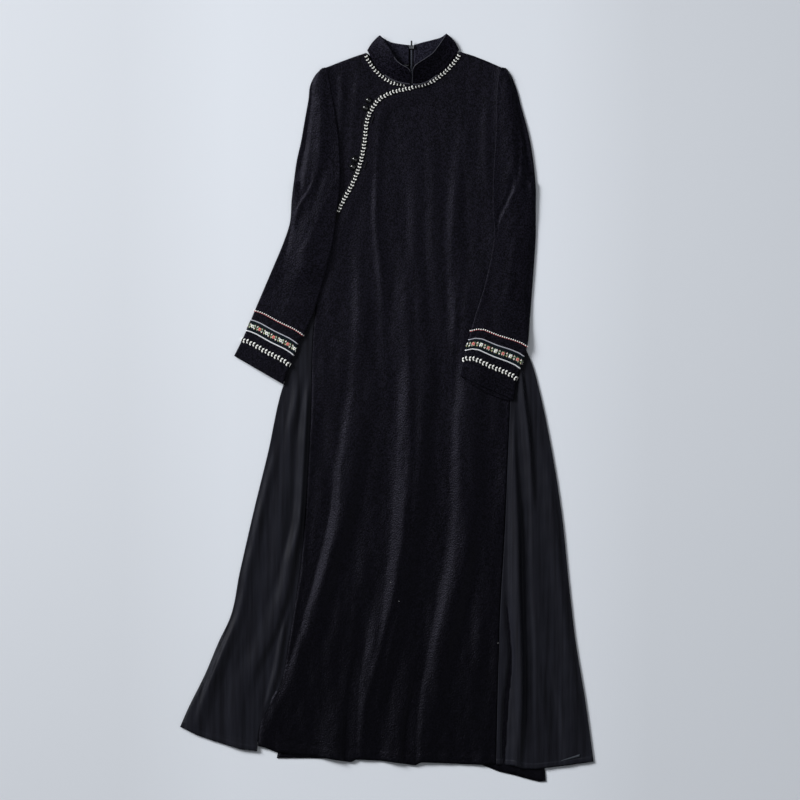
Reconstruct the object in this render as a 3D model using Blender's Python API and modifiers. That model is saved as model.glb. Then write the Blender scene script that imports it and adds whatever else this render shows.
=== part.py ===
"""A cheongsam laid flat on its back: wool front and back, set-in sleeves, sheer side
panels, a mandarin collar, braid trims, frog closures and a centre-back zip.

Sizes are in millimetres, and are scaled to metres as each mesh is made. x runs across
the dress, y from the hem (-) to the collar (+), and z up from the surface it lies on.
"""

import bisect
import functools
import math

import bmesh
import bpy
import numpy as np

MM = 0.001

# Cloth and trims
WOOL = 1.8
ORGANZA = 1.0
TRIM = 1.2
SEAM = 0.3
SEAM_GAP = 0.6

# Levels of the laid panels, as the height of each underside
YOKE_LEVEL = WOOL + SEAM
FRONT_LEVEL = 2.4
OVERLAP_LEVEL = YOKE_LEVEL + WOOL + SEAM

# Body outline: half of it for each side, as y and x
SIDE_LEFT = (
    (-641, -245), (-596, -240), (-560, -224), (-522, -203), (-430, -184), (-309, -165),
    (-187, -154), (-67, -147), (20, -143), (126, -141), (197, -135), (225, -133),
    (286, -140), (368, -159), (428, -165),
)
SIDE_RIGHT = (
    (-674, 207), (-504, 211), (-402, 214), (-248, 223), (-128, 228), (18, 234),
    (130, 237), (197, 236), (225, 232), (292, 242), (368, 261), (428, 266),
)
ARMHOLE_LEFT = (
    (428, -165), (449, -142), (476, -123), (510, -111), (558, -106), (605, -111), (646, -119),
)
ARMHOLE_RIGHT = (
    (428, 266), (449, 247), (476, 230), (510, 219), (558, 216), (605, 217), (646, 221),
)
BACK_SIDE_LEFT = (
    (-664, -209), (-592, -195), (-440, -173), (-288, -157), (-128, -146), (130, -135),
    (206, -133),
)
BACK_SIDE_RIGHT = (
    (-708, 302), (-680, 300), (-592, 295), (-440, 287), (-288, 276), (-128, 264), (16, 253),
    (130, 244), (206, 236),
)
UNDERARM_Y = 428
WAIST_Y = 206
SHOULDER_Y = 646

# Neck and placket edges, as x and y
NECK = (
    (-38, 676), (-29, 661), (-17, 644), (-3, 632), (12, 623), (28, 619), (47, 616),
    (62, 616), (76, 620), (91, 629), (108, 642), (124, 659), (138, 678),
)
BACK_NECK = (
    (-38, 676), (-28, 667), (-3, 657), (25, 652), (43, 651), (52, 651), (69, 652),
    (97, 657), (123, 667), (138, 678),
)
PLACKET = (
    (47, 615), (33, 612), (11, 607), (-5, 600), (-19, 591), (-30, 577), (-38, 563),
    (-44, 544), (-46, 527), (-48, 508), (-51, 489), (-56, 467), (-63, 447), (-71, 428),
    (-83, 406), (-94, 385), (-104, 362), (-117, 330), (-131, 301), (-140, 286),
)
SHOULDER_LEFT = ((-62, 668), (-89, 658))
SHOULDER_RIGHT = ((164, 670), (192, 659))
CENTRE_X = 47

# Rows of the tables above: where the placket turns down, and the neck's centre front
PLACKET_CORNER = 4
NECK_CENTRE = 6

# The yoke's underlap past the placket, and how far from it the front rises over it
UNDERLAP = 14
RISE_REACH = 46
RISE_SLOPE = 24
RISE_SPARE = 0.2

# Hems, as x and y
HEM_FRONT = (
    (-245, -641), (-231, -644), (-209, -653), (-144, -660), (-68, -672), (-57, -666),
    (-2, -670), (54, -678), (65, -672), (158, -676), (181, -677), (207, -675),
)
HEM_BACK = (
    (-209, -664), (-144, -664), (46, -671), (181, -677), (211, -689), (241, -696),
    (273, -705), (290, -709), (302, -709),
)
HEM_SHEER_LEFT = (
    (-392, -605), (-359, -621), (-325, -632), (-303, -639), (-277, -647), (-245, -651),
)
HEM_SHEER_RIGHT = ((207, -676), (242, -678), (256, -684), (282, -685), (335, -679), (392, -671))

# Outer edges of the sheer panels, as y and x
SHEER_LEFT_EDGE = (
    (-605, -393), (-573, -379), (-504, -345), (-438, -317), (-403, -300), (-309, -279),
    (-187, -251), (-85, -226), (43, -197), (104, -174), (149, -155), (206, -143),
)
SHEER_RIGHT_EDGE = (
    (-671, 393), (-567, 379), (-430, 357), (-333, 346), (-206, 333), (-67, 311),
    (29, 291), (82, 277), (140, 254), (206, 244),
)

# Ends of the sheer panels' back seams on the left (-1) and right (1), and the tops of their slits
SHEER_BACK_LOW = {-1: -664, 1: -680}
SLIT_Y = -410

# Lengthwise folds: y, x of the crest, height, and the widths of its left and right slopes
FOLDS = {
    "dart_left": (
        (586, -11, 0, 12, 20), (427, -19, 1.5, 12, 20), (352, -21, 2, 12, 22),
        (246, -11, 2, 14, 24), (151, -5, 1, 14, 24), (35, -3, 0, 14, 24),
    ),
    "left": (
        (415, -40, 0, 20, 30), (320, -47, 1.5, 20, 30), (225, -51, 2.5, 20, 32),
        (45, -60, 4, 20, 34), (-117, -87, 6, 18, 40), (-231, -97, 7.5, 18, 42),
        (-307, -116, 9, 18, 44), (-383, -140, 10, 18, 44), (-459, -163, 11, 18, 44),
        (-535, -190, 11, 18, 42), (-596, -222, 9, 18, 40), (-641, -245, 8, 18, 38),
    ),
    "left_lower": (
        (-288, -85, 0, 20, 20), (-354, -85, 2, 20, 20), (-468, -102, 4, 20, 22),
        (-552, -108, 6, 22, 22), (-662, -104, 8, 24, 24),
    ),
    "middle": (
        (320, 42, 0, 30, 18), (200, 36, 3, 32, 18), (24, 40, 5, 34, 18),
        (-98, 40, 7, 34, 18), (-218, 29, 9, 34, 18), (-339, 12, 11, 34, 18),
        (-461, -17, 13, 36, 18), (-582, -47, 15, 36, 20), (-664, -59, 16, 36, 22),
    ),
    "right_bust": (
        (529, 86, 0, 18, 24), (491, 86, 1, 18, 24), (352, 88, 1.5, 18, 24),
        (206, 93, 1.5, 18, 24), (64, 95, 1, 18, 24), (-22, 97, 0, 18, 24),
    ),
    "right": (
        (510, 137, 0, 16, 30), (427, 131, 1.5, 16, 32), (276, 126, 2.5, 16, 34),
        (170, 133, 3, 18, 38), (24, 137, 5, 20, 42), (-98, 139, 6.5, 20, 44),
        (-248, 131, 8.5, 22, 46), (-370, 112, 10.5, 22, 46), (-491, 86, 12, 22, 48),
        (-582, 65, 13, 22, 50), (-675, 59, 13, 22, 50),
    ),
    "right_side": (
        (54, 188, 0, 16, 20), (-174, 185, 1.5, 16, 20), (-364, 177, 2.5, 16, 20),
        (-554, 173, 3, 18, 20), (-677, 169, 3.5, 18, 20),
    ),
}
SHEER_FOLDS = {
    "sheer_left_seam": (
        (-300, -190, 0, 20, 16), (-420, -206, 2, 20, 16), (-520, -232, 4, 24, 16),
        (-600, -262, 6, 26, 16), (-650, -266, 7, 28, 18),
    ),
    "sheer_left_outer": (
        (-60, -195, 0, 24, 24), (-250, -232, 3, 26, 26), (-450, -282, 5, 28, 28),
        (-620, -322, 6, 30, 30),
    ),
    "sheer_right_pleat": (
        (20, 262, 0, 8, 30), (-60, 264, 3, 8, 32), (-200, 268, 4, 8, 36),
        (-400, 272, 5, 9, 40), (-560, 274, 6, 9, 42), (-686, 272, 7, 10, 44),
    ),
    "sheer_right_outer": (
        (-200, 310, 0, 24, 20), (-400, 322, 3, 26, 22), (-560, 336, 5, 28, 24),
        (-680, 346, 6, 30, 26),
    ),
}

# Sleeves, as rows from the cuff up: distance from the cuff, outer fold x and y, inner fold x and y
SLEEVE_LEFT = (
    (0, -290, 100, -197, 46), (36, -274, 132, -184, 84), (56, -266, 150, -176, 103),
    (79, -257, 171, -168, 125), (97, -250, 188, -158, 141), (135, -236, 221, -141, 177),
    (190, -216, 268, -123, 235), (241, -196, 316, -110, 282), (285, -184, 354, -100, 330),
    (328, -181, 394, -95, 374), (371, -177, 428, -89, 424), (414, -171, 471, -89, 468),
    (452, -163, 507, -91, 510), (493, -156, 547, -96, 550), (529, -149, 586, -102, 584),
    (563, -144, 618, -108, 617), (588, -133, 641, -114, 641),
)
SLEEVE_RIGHT = (
    (0, 240, 16, 138, 63), (32, 246, 54, 144, 91), (57, 254, 79, 150, 113),
    (78, 261, 101, 156, 132), (97, 267, 120, 160, 149), (139, 272, 172, 169, 180),
    (190, 276, 225, 184, 227), (245, 280, 278, 197, 282), (295, 283, 330, 204, 332),
    (340, 283, 377, 201, 373), (385, 283, 421, 201, 419), (437, 278, 472, 204, 472),
    (489, 269, 523, 207, 525), (536, 256, 571, 208, 571), (578, 244, 614, 210, 611),
    (607, 232, 641, 215, 640),
)

# x of each sleeve's outer fold at the underarm, and the distance of the underarm from the cuff
UNDERARM_OUTER = (-177, 283)
UNDERARM_DISTANCE = 371
SEAM_AT_CUFF = 0.36

# The height of a laid sleeve, its gap over what it lies on, and the rows between its trims
# and the underarm
SLEEVE_BULK = 6.6
SLEEVE_REST = 0.6
SLEEVE_ROWS = (135, 175, 215, 255, 290, 328)

# How far a sleeve reaches past the body's edge before it slopes to the floor
REST_REACH = 5
REST_SLOPE = 26

# The sleeve's lower layer rises for the trims round it, up to a distance from the cuff
TRIM_LIFT = TRIM + SEAM
TRIM_LIFT_FROM = 130
TRIM_LIFT_SLOPE = 30

# Cuff trims: the distances from the cuff at which each starts and ends, and its look
CUFF_TRIMS = {
    "leaf_braid": (30, 37, "leaf_trim"),
    "ribbon": (53, 77, "ribbon"),
    "twine": (93, 96, "twine"),
}

# Collar halves, from the centre front round to the centre back:
# x, y and z of the seam, then x, y and z of the top edge
COLLAR_LEFT = (
    (45.6, 617.0, 4.6, 45.6, 645.0, 26), (29.8, 619.6, 4.6, 30.8, 650.4, 25.5),
    (13.0, 624.4, 4.6, 17.5, 661.2, 24), (-1.8, 633.4, 4.6, 8.9, 676.4, 21),
    (-15.7, 645.8, 4.9, 0.4, 689.7, 16), (-26.9, 662.2, 5.2, -7.2, 701.1, 11),
    (-36.6, 680.0, 3.8, -12.9, 708.4, 5.5), (-26.5, 669.8, 1.3, -5.3, 702.8, 1.5),
    (-3.0, 659.0, 1.1, 8.0, 696.0, 1.2), (23.0, 653.6, 1.1, 25.1, 692.5, 1.1),
    (42.6, 652.4, 1.1, 42.4, 690.3, 1.1),
)
COLLAR_RIGHT = (
    (48.4, 617.0, 4.6, 49.4, 647.9, 26.5), (62.1, 617.2, 4.6, 60.2, 655.5, 26),
    (76.5, 621.8, 4.6, 72.6, 663.5, 24.5), (90.2, 630.6, 4.6, 86.8, 673.9, 22),
    (107.0, 643.6, 4.9, 97.3, 687.2, 17), (122.5, 660.8, 5.2, 106.4, 700.6, 11.5),
    (136.6, 681.0, 3.8, 112.8, 711.4, 5.5), (122.0, 668.8, 1.3, 103.9, 705.5, 1.5),
    (98.5, 659.0, 1.1, 87.8, 700.5, 1.2), (72.0, 653.6, 1.1, 68.8, 695.8, 1.1),
    (51.4, 652.4, 1.1, 51.6, 690.8, 1.1),
)
COLLAR_CORNER = 9
COLLAR_BOW = (2.2, 3.2)
COLLAR_BOW_REACH = 34

# The braids and the piping on the front
BRAID_WIDTH = 8.4
BRAID_END_Y = 352
PIPING_WIDTH = 1.6
EDGE_GAP = 0.4

# Zip, its slider (with two rails) and its pull tab: widths, lengths and thicknesses
ZIP_WIDTH = 6.6
ZIP_TOP = 690
ZIP_END = 225
ZIP_THICK = 1.2
SLIDER_WIDTH, SLIDER_LENGTH, SLIDER_THICK = 9.0, 6.5, 2.2
SLIDER_LEVEL = 2.4
RAIL_THICK, RAIL_HEIGHT = 1.0, 1.4
PULL_WIDTH, PULL_LENGTH, PULL_THICK = 3.0, 10.2, 0.9
HINGE_FROM_TOP = 1.0
HINGE_FROM_END = 0.7

# Frog cords, knots and loops
CORD = 1.8
KNOT = 10.5
KNOT_HEIGHT = 7.8
LOOP_RADIUS = 5.9
LOOP_TURNS = (62, 298)
TAIL_REACH = 7
TAIL_LEAN = 0.35

# Frog closures: the two knots of each, the way their loops open, and their tail on the front
FROGS = {
    "upper": {"knots": ((-34.6, 585.2), (-40.5, 570.8)), "opens": -30, "tail": (-27.0, 549.0)},
    "lower": {"knots": ((-61.0, 472.9), (-64.4, 458.7)), "opens": -16, "tail": (-40.5, 463.0)},
}

COLOURS = {
    "wool": ((0.0055, 0.0052, 0.0072), 0.95, 0.0),
    "sheer": ((0.012, 0.0125, 0.015), 0.6, 0.0),
    "leaf_trim": ((0.55, 0.53, 0.47), 0.75, 0.0),
    "ribbon": ((0.05, 0.06, 0.055), 0.6, 0.0),
    "twine": ((0.35, 0.10, 0.08), 0.8, 0.0),
    "satin": ((0.05, 0.05, 0.055), 0.35, 0.0),
    "frog_cord": ((0.004, 0.004, 0.005), 0.4, 0.0),
    "bead": ((0.004, 0.004, 0.005), 0.12, 0.0),
    "zip_tape": ((0.08, 0.085, 0.10), 0.6, 0.0),
    "zip_metal": ((0.45, 0.46, 0.48), 0.35, 0.9),
}


# ---------------------------------------------------------------- curves and heights

@functools.lru_cache(maxsize=None)
def prepared(rows):
    """A table's rows in order of their first column, and the slopes of the others."""
    table = np.array(sorted(rows), float)
    slopes = np.gradient(table, table[:, 0], axis=0)
    return table[:, 0].tolist(), table.tolist(), slopes.tolist()


def between(places, at):
    """The row before a place, and how far the place is on the way to the next one."""
    at = min(max(at, places[0]), places[-1])
    i = min(bisect.bisect_right(places, at), len(places) - 1) - 1
    return i, (at - places[i]) / (places[i + 1] - places[i])


def smooth(rows, at, column=1):
    """One column of a table against its first, as a smooth curve through its rows."""
    places, table, slopes = prepared(rows)
    i, f = between(places, at)
    span = places[i + 1] - places[i]
    start = (1 + 2 * f) * (1 - f) ** 2 * table[i][column]
    start += f * (1 - f) ** 2 * span * slopes[i][column]
    end = f * f * (3 - 2 * f) * table[i + 1][column]
    return start + end - f * f * (1 - f) * span * slopes[i + 1][column]


def straight(rows, at, column=1):
    """One column of a table against its first, as straight lines between its rows."""
    places, table, _ = prepared(rows)
    i, f = between(places, at)
    return (1 - f) * table[i][column] + f * table[i + 1][column]


def ease(f):
    """0 to 1, level at both ends."""
    f = min(max(f, 0.0), 1.0)
    return f * f * (3 - 2 * f)


def along(points, count):
    """The given number of points, evenly spread on a smooth curve through the points."""
    points = np.array(points, float)
    steps = np.linalg.norm(np.diff(points, axis=0), axis=1)
    reach = np.concatenate([[0.0], np.cumsum(steps)])
    rows = tuple(map(tuple, np.column_stack([reach, points])))
    columns = range(1, len(rows[0]))
    return np.array([
        [smooth(rows, at, column) for column in columns]
        for at in np.linspace(0.0, reach[-1], count)
    ])


def beside(path, offset):
    """A flat path moved to its left by the offset."""
    heading = np.gradient(path[:, :2], axis=0)
    heading /= np.linalg.norm(heading, axis=1)[:, None]
    return path[:, :2] + offset * np.column_stack([-heading[:, 1], heading[:, 0]])


def ridge(fold, x, y):
    """The height that one lengthwise fold adds at a place."""
    low, high = fold[-1][0], fold[0][0]
    if y > high:
        return 0.0
    crest = smooth(fold, y, 1)
    side = 3 if x < crest else 4
    away = abs(x - crest) / smooth(fold, y, side)
    height = max(0.0, smooth(fold, max(y, low), 2))
    return height * 0.5 * (1 + math.cos(math.pi * min(1.0, away)))


PLACKET_LINE = along(PLACKET, 60)


@functools.lru_cache(maxsize=None)
def placket_gap(x, y):
    """Distance from a place to the placket's edge."""
    return float(np.min(np.hypot(PLACKET_LINE[:, 0] - x, PLACKET_LINE[:, 1] - y)))


def placket_lift(x, y):
    """How far the front rises where it lies over the yoke's underlap."""
    full = OVERLAP_LEVEL - FRONT_LEVEL + RISE_SPARE
    return full * ease((RISE_REACH - placket_gap(x, y)) / RISE_SLOPE)


def front_underside(x, y):
    """Height of the underside of the front over the surface the dress lies on."""
    folds = sum(ridge(fold, x, y) for fold in FOLDS.values())
    return FRONT_LEVEL + folds + placket_lift(x, y)


def body_edges(y):
    """Left and right limits of everything that a sleeve can lie on at this height."""
    if y > UNDERARM_Y:
        return straight(ARMHOLE_LEFT, y), straight(ARMHOLE_RIGHT, y)
    if y > WAIST_Y:
        return straight(SIDE_LEFT, y), straight(SIDE_RIGHT, y)
    return straight(SHEER_LEFT_EDGE, y), straight(SHEER_RIGHT_EDGE, y)


def support(x, y):
    """Height of what a sleeve lies on: the body and its braid under it, then a slope
    down to the floor."""
    near_x, near_y = 7, 9
    braid_reach, braid_slope = 34, 12
    left, right = body_edges(y)
    outside = max(left - REST_REACH - x, x - right - REST_REACH, 0.0)
    spots = [(x + dx, y + dy) for dx in (-near_x, 0, near_x) for dy in (-near_y, 0, near_y)]
    top = max(front_underside(px, py) for px, py in spots) + WOOL + SLEEVE_REST
    top += (TRIM + SEAM) * ease((braid_reach - placket_gap(x, y)) / braid_slope)
    return top * (1 - ease(outside / REST_SLOPE))


# ---------------------------------------------------------------- making solids

def clear_scene():
    for item in list(bpy.data.objects):
        bpy.data.objects.remove(item, do_unlink=True)


def collection(name):
    made = bpy.data.collections.new(name)
    bpy.context.scene.collection.children.link(made)
    return made


def finish(name, look):
    """A new Principled material for one piece."""
    colour, roughness, metallic = COLOURS[look]
    made = bpy.data.materials.new(name + "_" + look)
    made.use_nodes = True
    shader = made.node_tree.nodes["Principled BSDF"]
    shader.inputs["Base Color"].default_value = (*colour, 1.0)
    shader.inputs["Roughness"].default_value = roughness
    shader.inputs["Metallic"].default_value = metallic
    made.diffuse_color = (*colour, 1.0)
    return made


def add(name, data, look, group):
    item = bpy.data.objects.new(name, data)
    data.materials.append(finish(name, look))
    group.objects.link(item)
    return item


def sheet_mesh(columns, rows, place, flip=False):
    """A grid whose points are placed by a function of their column and row; points
    that fall together are joined, so a row may close on itself."""
    shape = bmesh.new()
    bmesh.ops.create_grid(shape, x_segments=columns - 1, y_segments=rows - 1, size=0.5)
    for vertex in shape.verts:
        column = round((vertex.co.x + 0.5) * (columns - 1))
        row = round((vertex.co.y + 0.5) * (rows - 1))
        vertex.co = [value * MM for value in place(column, row)]
    bmesh.ops.remove_doubles(shape, verts=shape.verts, dist=1e-6)
    if flip:
        bmesh.ops.reverse_faces(shape, faces=shape.faces)
    return shape


def thicken_up(shape, thick):
    """Turns a sheet into a solid by extruding it straight up, which keeps its edges upright."""
    made = bmesh.ops.extrude_face_region(shape, geom=shape.faces[:], use_keep_orig=True)
    raised = [part for part in made["geom"] if isinstance(part, bmesh.types.BMVert)]
    bmesh.ops.translate(shape, verts=raised, vec=(0, 0, thick * MM))
    bmesh.ops.recalc_face_normals(shape, faces=shape.faces)


def to_object(name, shape, look, group):
    data = bpy.data.meshes.new(name)
    shape.to_mesh(data)
    shape.free()
    data.shade_smooth()
    return add(name, data, look, group)


def wall(item, thick, offset, even=True):
    """Solidify: -1 puts the wall behind the sheet's face, 1 in front, 0 on both sides."""
    solid = item.modifiers.new("Wall", "SOLIDIFY")
    solid.thickness = thick * MM
    solid.offset = offset
    solid.use_even_offset = even
    return item


def flat_piece(name, outline, low, thick, look, group):
    """A flat outline extruded to its thickness."""
    data = bpy.data.curves.new(name, "CURVE")
    data.dimensions = "2D"
    data.fill_mode = "BOTH"
    data.extrude = thick / 2 * MM
    line = data.splines.new("POLY")
    line.points.add(len(outline) - 1)
    for point, (x, y) in zip(line.points, outline):
        point.co = (x * MM, y * MM, 0, 1)
    line.use_cyclic_u = True
    item = add(name, data, look, group)
    item.location.z = (low + thick / 2) * MM
    return item


def cord_piece(name, points, thick, look, group):
    """A round cord along its points, with filled ends."""
    data = bpy.data.curves.new(name, "CURVE")
    data.dimensions = "3D"
    data.bevel_depth = thick / 2 * MM
    data.bevel_resolution = 2
    data.use_fill_caps = True
    line = data.splines.new("POLY")
    line.points.add(len(points) - 1)
    for point, (x, y, z) in zip(line.points, points):
        point.co = (x * MM, y * MM, z * MM, 1)
    return add(name, data, look, group)


# ---------------------------------------------------------------- body

def outline_x(side, armhole, y):
    return straight(armhole, y) if y > UNDERARM_Y else straight(side, y)


def front_left(y):
    """The left edge of the main front: side seam, then placket up to its corner."""
    rows = tuple((py, px) for px, py in PLACKET[PLACKET_CORNER:])
    if y >= rows[-1][0]:
        return smooth(rows, y)
    return smooth(SIDE_LEFT, y)


FRONT_TOP = (
    PLACKET[: PLACKET_CORNER + 1] + NECK[NECK_CENTRE + 1:] + SHOULDER_RIGHT
    + ((221, SHOULDER_Y),)
)
FRONT_COLUMNS, FRONT_ROWS, NECK_COLUMN = 37, 25, 24
YOKE_SIDE_ROWS = (400, 368, 330, 300)
BACK_SIDE_ROWS = (225, 260, 292, 330, 368, 400)


@functools.lru_cache(maxsize=None)
def front_grid():
    """The points of the main front's underside, as rows from the hem up. A column runs
    up to the placket, the neck or the shoulder, and one of them meets the neck point.
    The rows are a little closer together near the top."""
    closer = 0.10
    neck_x, neck_y = NECK[-1]
    corner_x, corner_y = PLACKET[PLACKET_CORNER]

    def across(share, y):
        left = front_left(y) if y < corner_y else corner_x
        right = outline_x(SIDE_RIGHT, ARMHOLE_RIGHT, min(y, SHOULDER_Y))
        return left + share * (right - left)

    def top_of(share):
        y = SHOULDER_Y
        for _ in range(40):
            y = 0.5 * y + 0.5 * straight(FRONT_TOP, across(share, y))
        return y

    neck_share = (neck_x - corner_x) / (across(1, neck_y) - corner_x)
    shares = list(np.linspace(0, neck_share, NECK_COLUMN))
    shares += list(np.linspace(neck_share, 1, FRONT_COLUMNS - NECK_COLUMN + 1))[1:]
    tops = [corner_y] + [top_of(share) for share in shares[1:-1]] + [SHOULDER_Y]
    grid = []
    for level in np.linspace(0, 1, FRONT_ROWS):
        level += closer * math.sin(math.pi * level)
        row = []
        for share, top in zip(shares, tops):
            low = straight(HEM_FRONT, across(share, HEM_FRONT[3][1]))
            y = low + level * (top - low)
            x = across(share, y)
            row.append((x, y, front_underside(x, y)))
        grid.append(row)
    return grid


def front_main(group):
    grid = front_grid()
    shape = sheet_mesh(FRONT_COLUMNS, FRONT_ROWS, lambda column, row: grid[row][column])
    thicken_up(shape, WOOL)
    return to_object("front_main", shape, "wool", group)


def front_yoke(group):
    neck = along(NECK[: NECK_CENTRE + 1], 12)
    inner = beside(along(PLACKET, 22), UNDERLAP)
    armhole = [(x, y) for y, x in ARMHOLE_LEFT[::-1]]
    side = [(straight(SIDE_LEFT, y), y) for y in YOKE_SIDE_ROWS]
    outline = [tuple(p) for p in neck[::-1]] + list(SHOULDER_LEFT) + armhole + side
    outline += [tuple(p) for p in inner[::-1] if p[0] > straight(SIDE_LEFT, p[1]) + 2]
    return flat_piece("front_yoke", outline, YOKE_LEVEL, WOOL, "wool", group)


def front_seam(sign):
    """Points of the front's left (-1) or right (1) seam with its sheer panel, waist to hem."""
    column = 0 if sign < 0 else -1
    return [row[column] for row in front_grid()[::-1] if row[column][1] < WAIST_Y]


def back_panels(group):
    zip_half = ZIP_WIDTH / 2 + SEAM
    for name, side, waist_up, armhole, shoulder, sign in (
        ("back_left", BACK_SIDE_LEFT, SIDE_LEFT, ARMHOLE_LEFT, SHOULDER_LEFT, -1),
        ("back_right", BACK_SIDE_RIGHT, SIDE_RIGHT, ARMHOLE_RIGHT, SHOULDER_RIGHT, 1),
    ):
        low = side[0][0]
        edge = [side[0][::-1]] if low < SHEER_BACK_LOW[sign] else []
        edge += back_seam(side, sign)[::-1]
        edge += [(straight(waist_up, y), y) for y in BACK_SIDE_ROWS]
        edge += [(x, y) for y, x in armhole]
        edge += shoulder[::-1]
        neck = [p for p in BACK_NECK if (p[0] - CENTRE_X) * sign > zip_half][::-sign]
        centre = [
            (CENTRE_X + sign * zip_half, BACK_NECK[4][1]),
            (CENTRE_X + sign * zip_half, ZIP_END - 4),
            (CENTRE_X + sign * SEAM / 2, ZIP_END - 8),
            (CENTRE_X + sign * SEAM / 2, straight(HEM_BACK, CENTRE_X)),
        ]
        hem = [p for p in HEM_BACK if (p[0] - CENTRE_X) * sign > SEAM]
        hem = hem[1:][::-1] if sign < 0 else hem[:-1]
        flat_piece(name, edge + neck + centre + hem, 0, WOOL, "wool", group)


def back_seam(side, sign):
    """Points of the seam between a back panel and its sheer panel, waist to hem."""
    levels = [y for _, y, _ in front_seam(sign)]
    low = SHEER_BACK_LOW[sign]
    spread = [WAIST_Y - (WAIST_Y - y) * (WAIST_Y - low) / (WAIST_Y - levels[-1]) for y in levels]
    return [(smooth(side, y), y) for y in spread]


# ---------------------------------------------------------------- sleeves

def sleeve_row(rows, distance):
    """The outer and inner fold points of a sleeve at a distance from its cuff."""
    values = [smooth(rows, distance, column) for column in range(1, 5)]
    return np.array(values[:2]), np.array(values[2:])


def sleeve_ring(rows, armhole, distance, out=0.0):
    """Points round a sleeve: along its lower layer from the underarm seam to the inner
    fold, back over the top to the outer fold, and under again. Above the underarm the
    two ends part, to the front and the back of the armhole. They can be moved out."""
    fullest, front_gap, back_gap, least_run = 0.45, 0.8, 2.5, 0.02
    outer, inner = sleeve_row(rows, distance)
    width = float(np.linalg.norm(inner - outer))
    across = (inner - outer) / width
    bulk = min(SLEEVE_BULK, fullest * width)
    turn = bulk / 2 / width
    middle_y = float((outer[1] + inner[1]) / 2)
    is_open = middle_y > UNDERARM_Y
    if is_open:
        seam = (straight(armhole, middle_y) - outer[0]) / (inner[0] - outer[0])
        front_end, back_end = seam + front_gap / width, seam - back_gap / width
    else:
        from_outer = abs(armhole[0][1] - UNDERARM_OUTER[int(outer[0] > CENTRE_X)])
        at_underarm = (from_outer - WOOL) / width
        down = max(0.0, 1 - distance / UNDERARM_DISTANCE)
        front_end = back_end = at_underarm + (SEAM_AT_CUFF - at_underarm) * down
    front_end = min(front_end, 1 - turn - least_run)
    back_end = max(back_end, turn + least_run)
    lift = TRIM_LIFT * ease((TRIM_LIFT_FROM - distance) / TRIM_LIFT_SLOPE)

    def spot(share, level, on_floor=False):
        x, y = outer + share * width * across
        base = 0.0 if on_floor else support(x, y) + lift
        return np.array([x, y, base + level * bulk])

    points = [spot(share, 0) for share in np.linspace(front_end, 1 - turn, 6)]
    for angle in (45, 90, 135):
        reach = 1 - turn + turn * math.sin(math.radians(angle))
        points.append(spot(reach, 0.5 - 0.5 * math.cos(math.radians(angle))))
    points += [spot(share, 1) for share in np.linspace(1 - turn, turn, 8)]
    for angle in (135, 90, 45):
        reach = turn - turn * math.sin(math.radians(angle))
        points.append(spot(reach, 0.5 - 0.5 * math.cos(math.radians(angle))))
    points += [spot(share, 0, is_open) for share in np.linspace(turn, back_end, 4)]
    return moved_out(np.array(points), outer, across, out) if out else np.array(points)


def moved_out(points, outer, across, out):
    """A closed ring round a sleeve, moved out in its own upright plane."""
    flat = np.column_stack([(points[:, :2] - outer) @ across, points[:, 2]])
    heading = np.roll(flat, -1, axis=0) - np.roll(flat, 1, axis=0)
    heading[0] = heading[-1] = flat[1] - flat[-2]
    heading /= np.linalg.norm(heading, axis=1)[:, None]
    flat += out * np.column_stack([heading[:, 1], -heading[:, 0]])
    return np.column_stack([outer + flat[:, :1] * across, flat[:, 1]])


def tube(name, rings, look, group):
    """A skin through rings of points, facing outwards on either side of the dress."""
    def place(column, row):
        return rings[row][column]

    on_left = rings[0][0][0] < CENTRE_X
    shape = sheet_mesh(len(rings[0]), len(rings), place, flip=on_left)
    return to_object(name, shape, look, group)


def sleeve(name, rows, armhole, group):
    trim_ends = [end for trim in CUFF_TRIMS.values() for end in trim[:2]]
    distances = sorted([0, *trim_ends, *SLEEVE_ROWS])
    distances += [row[0] for row in rows if row[0] >= UNDERARM_DISTANCE]
    rings = [sleeve_ring(rows, armhole, distance) for distance in distances]
    return wall(tube(name, rings, "wool", group), WOOL, -1)


def cuff_trim(name, rows, armhole, ends, look, group):
    rings = [sleeve_ring(rows, armhole, distance, SEAM) for distance in ends]
    return wall(tube(name, rings, look, group), TRIM, 1)


# ---------------------------------------------------------------- sheer side panels

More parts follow.
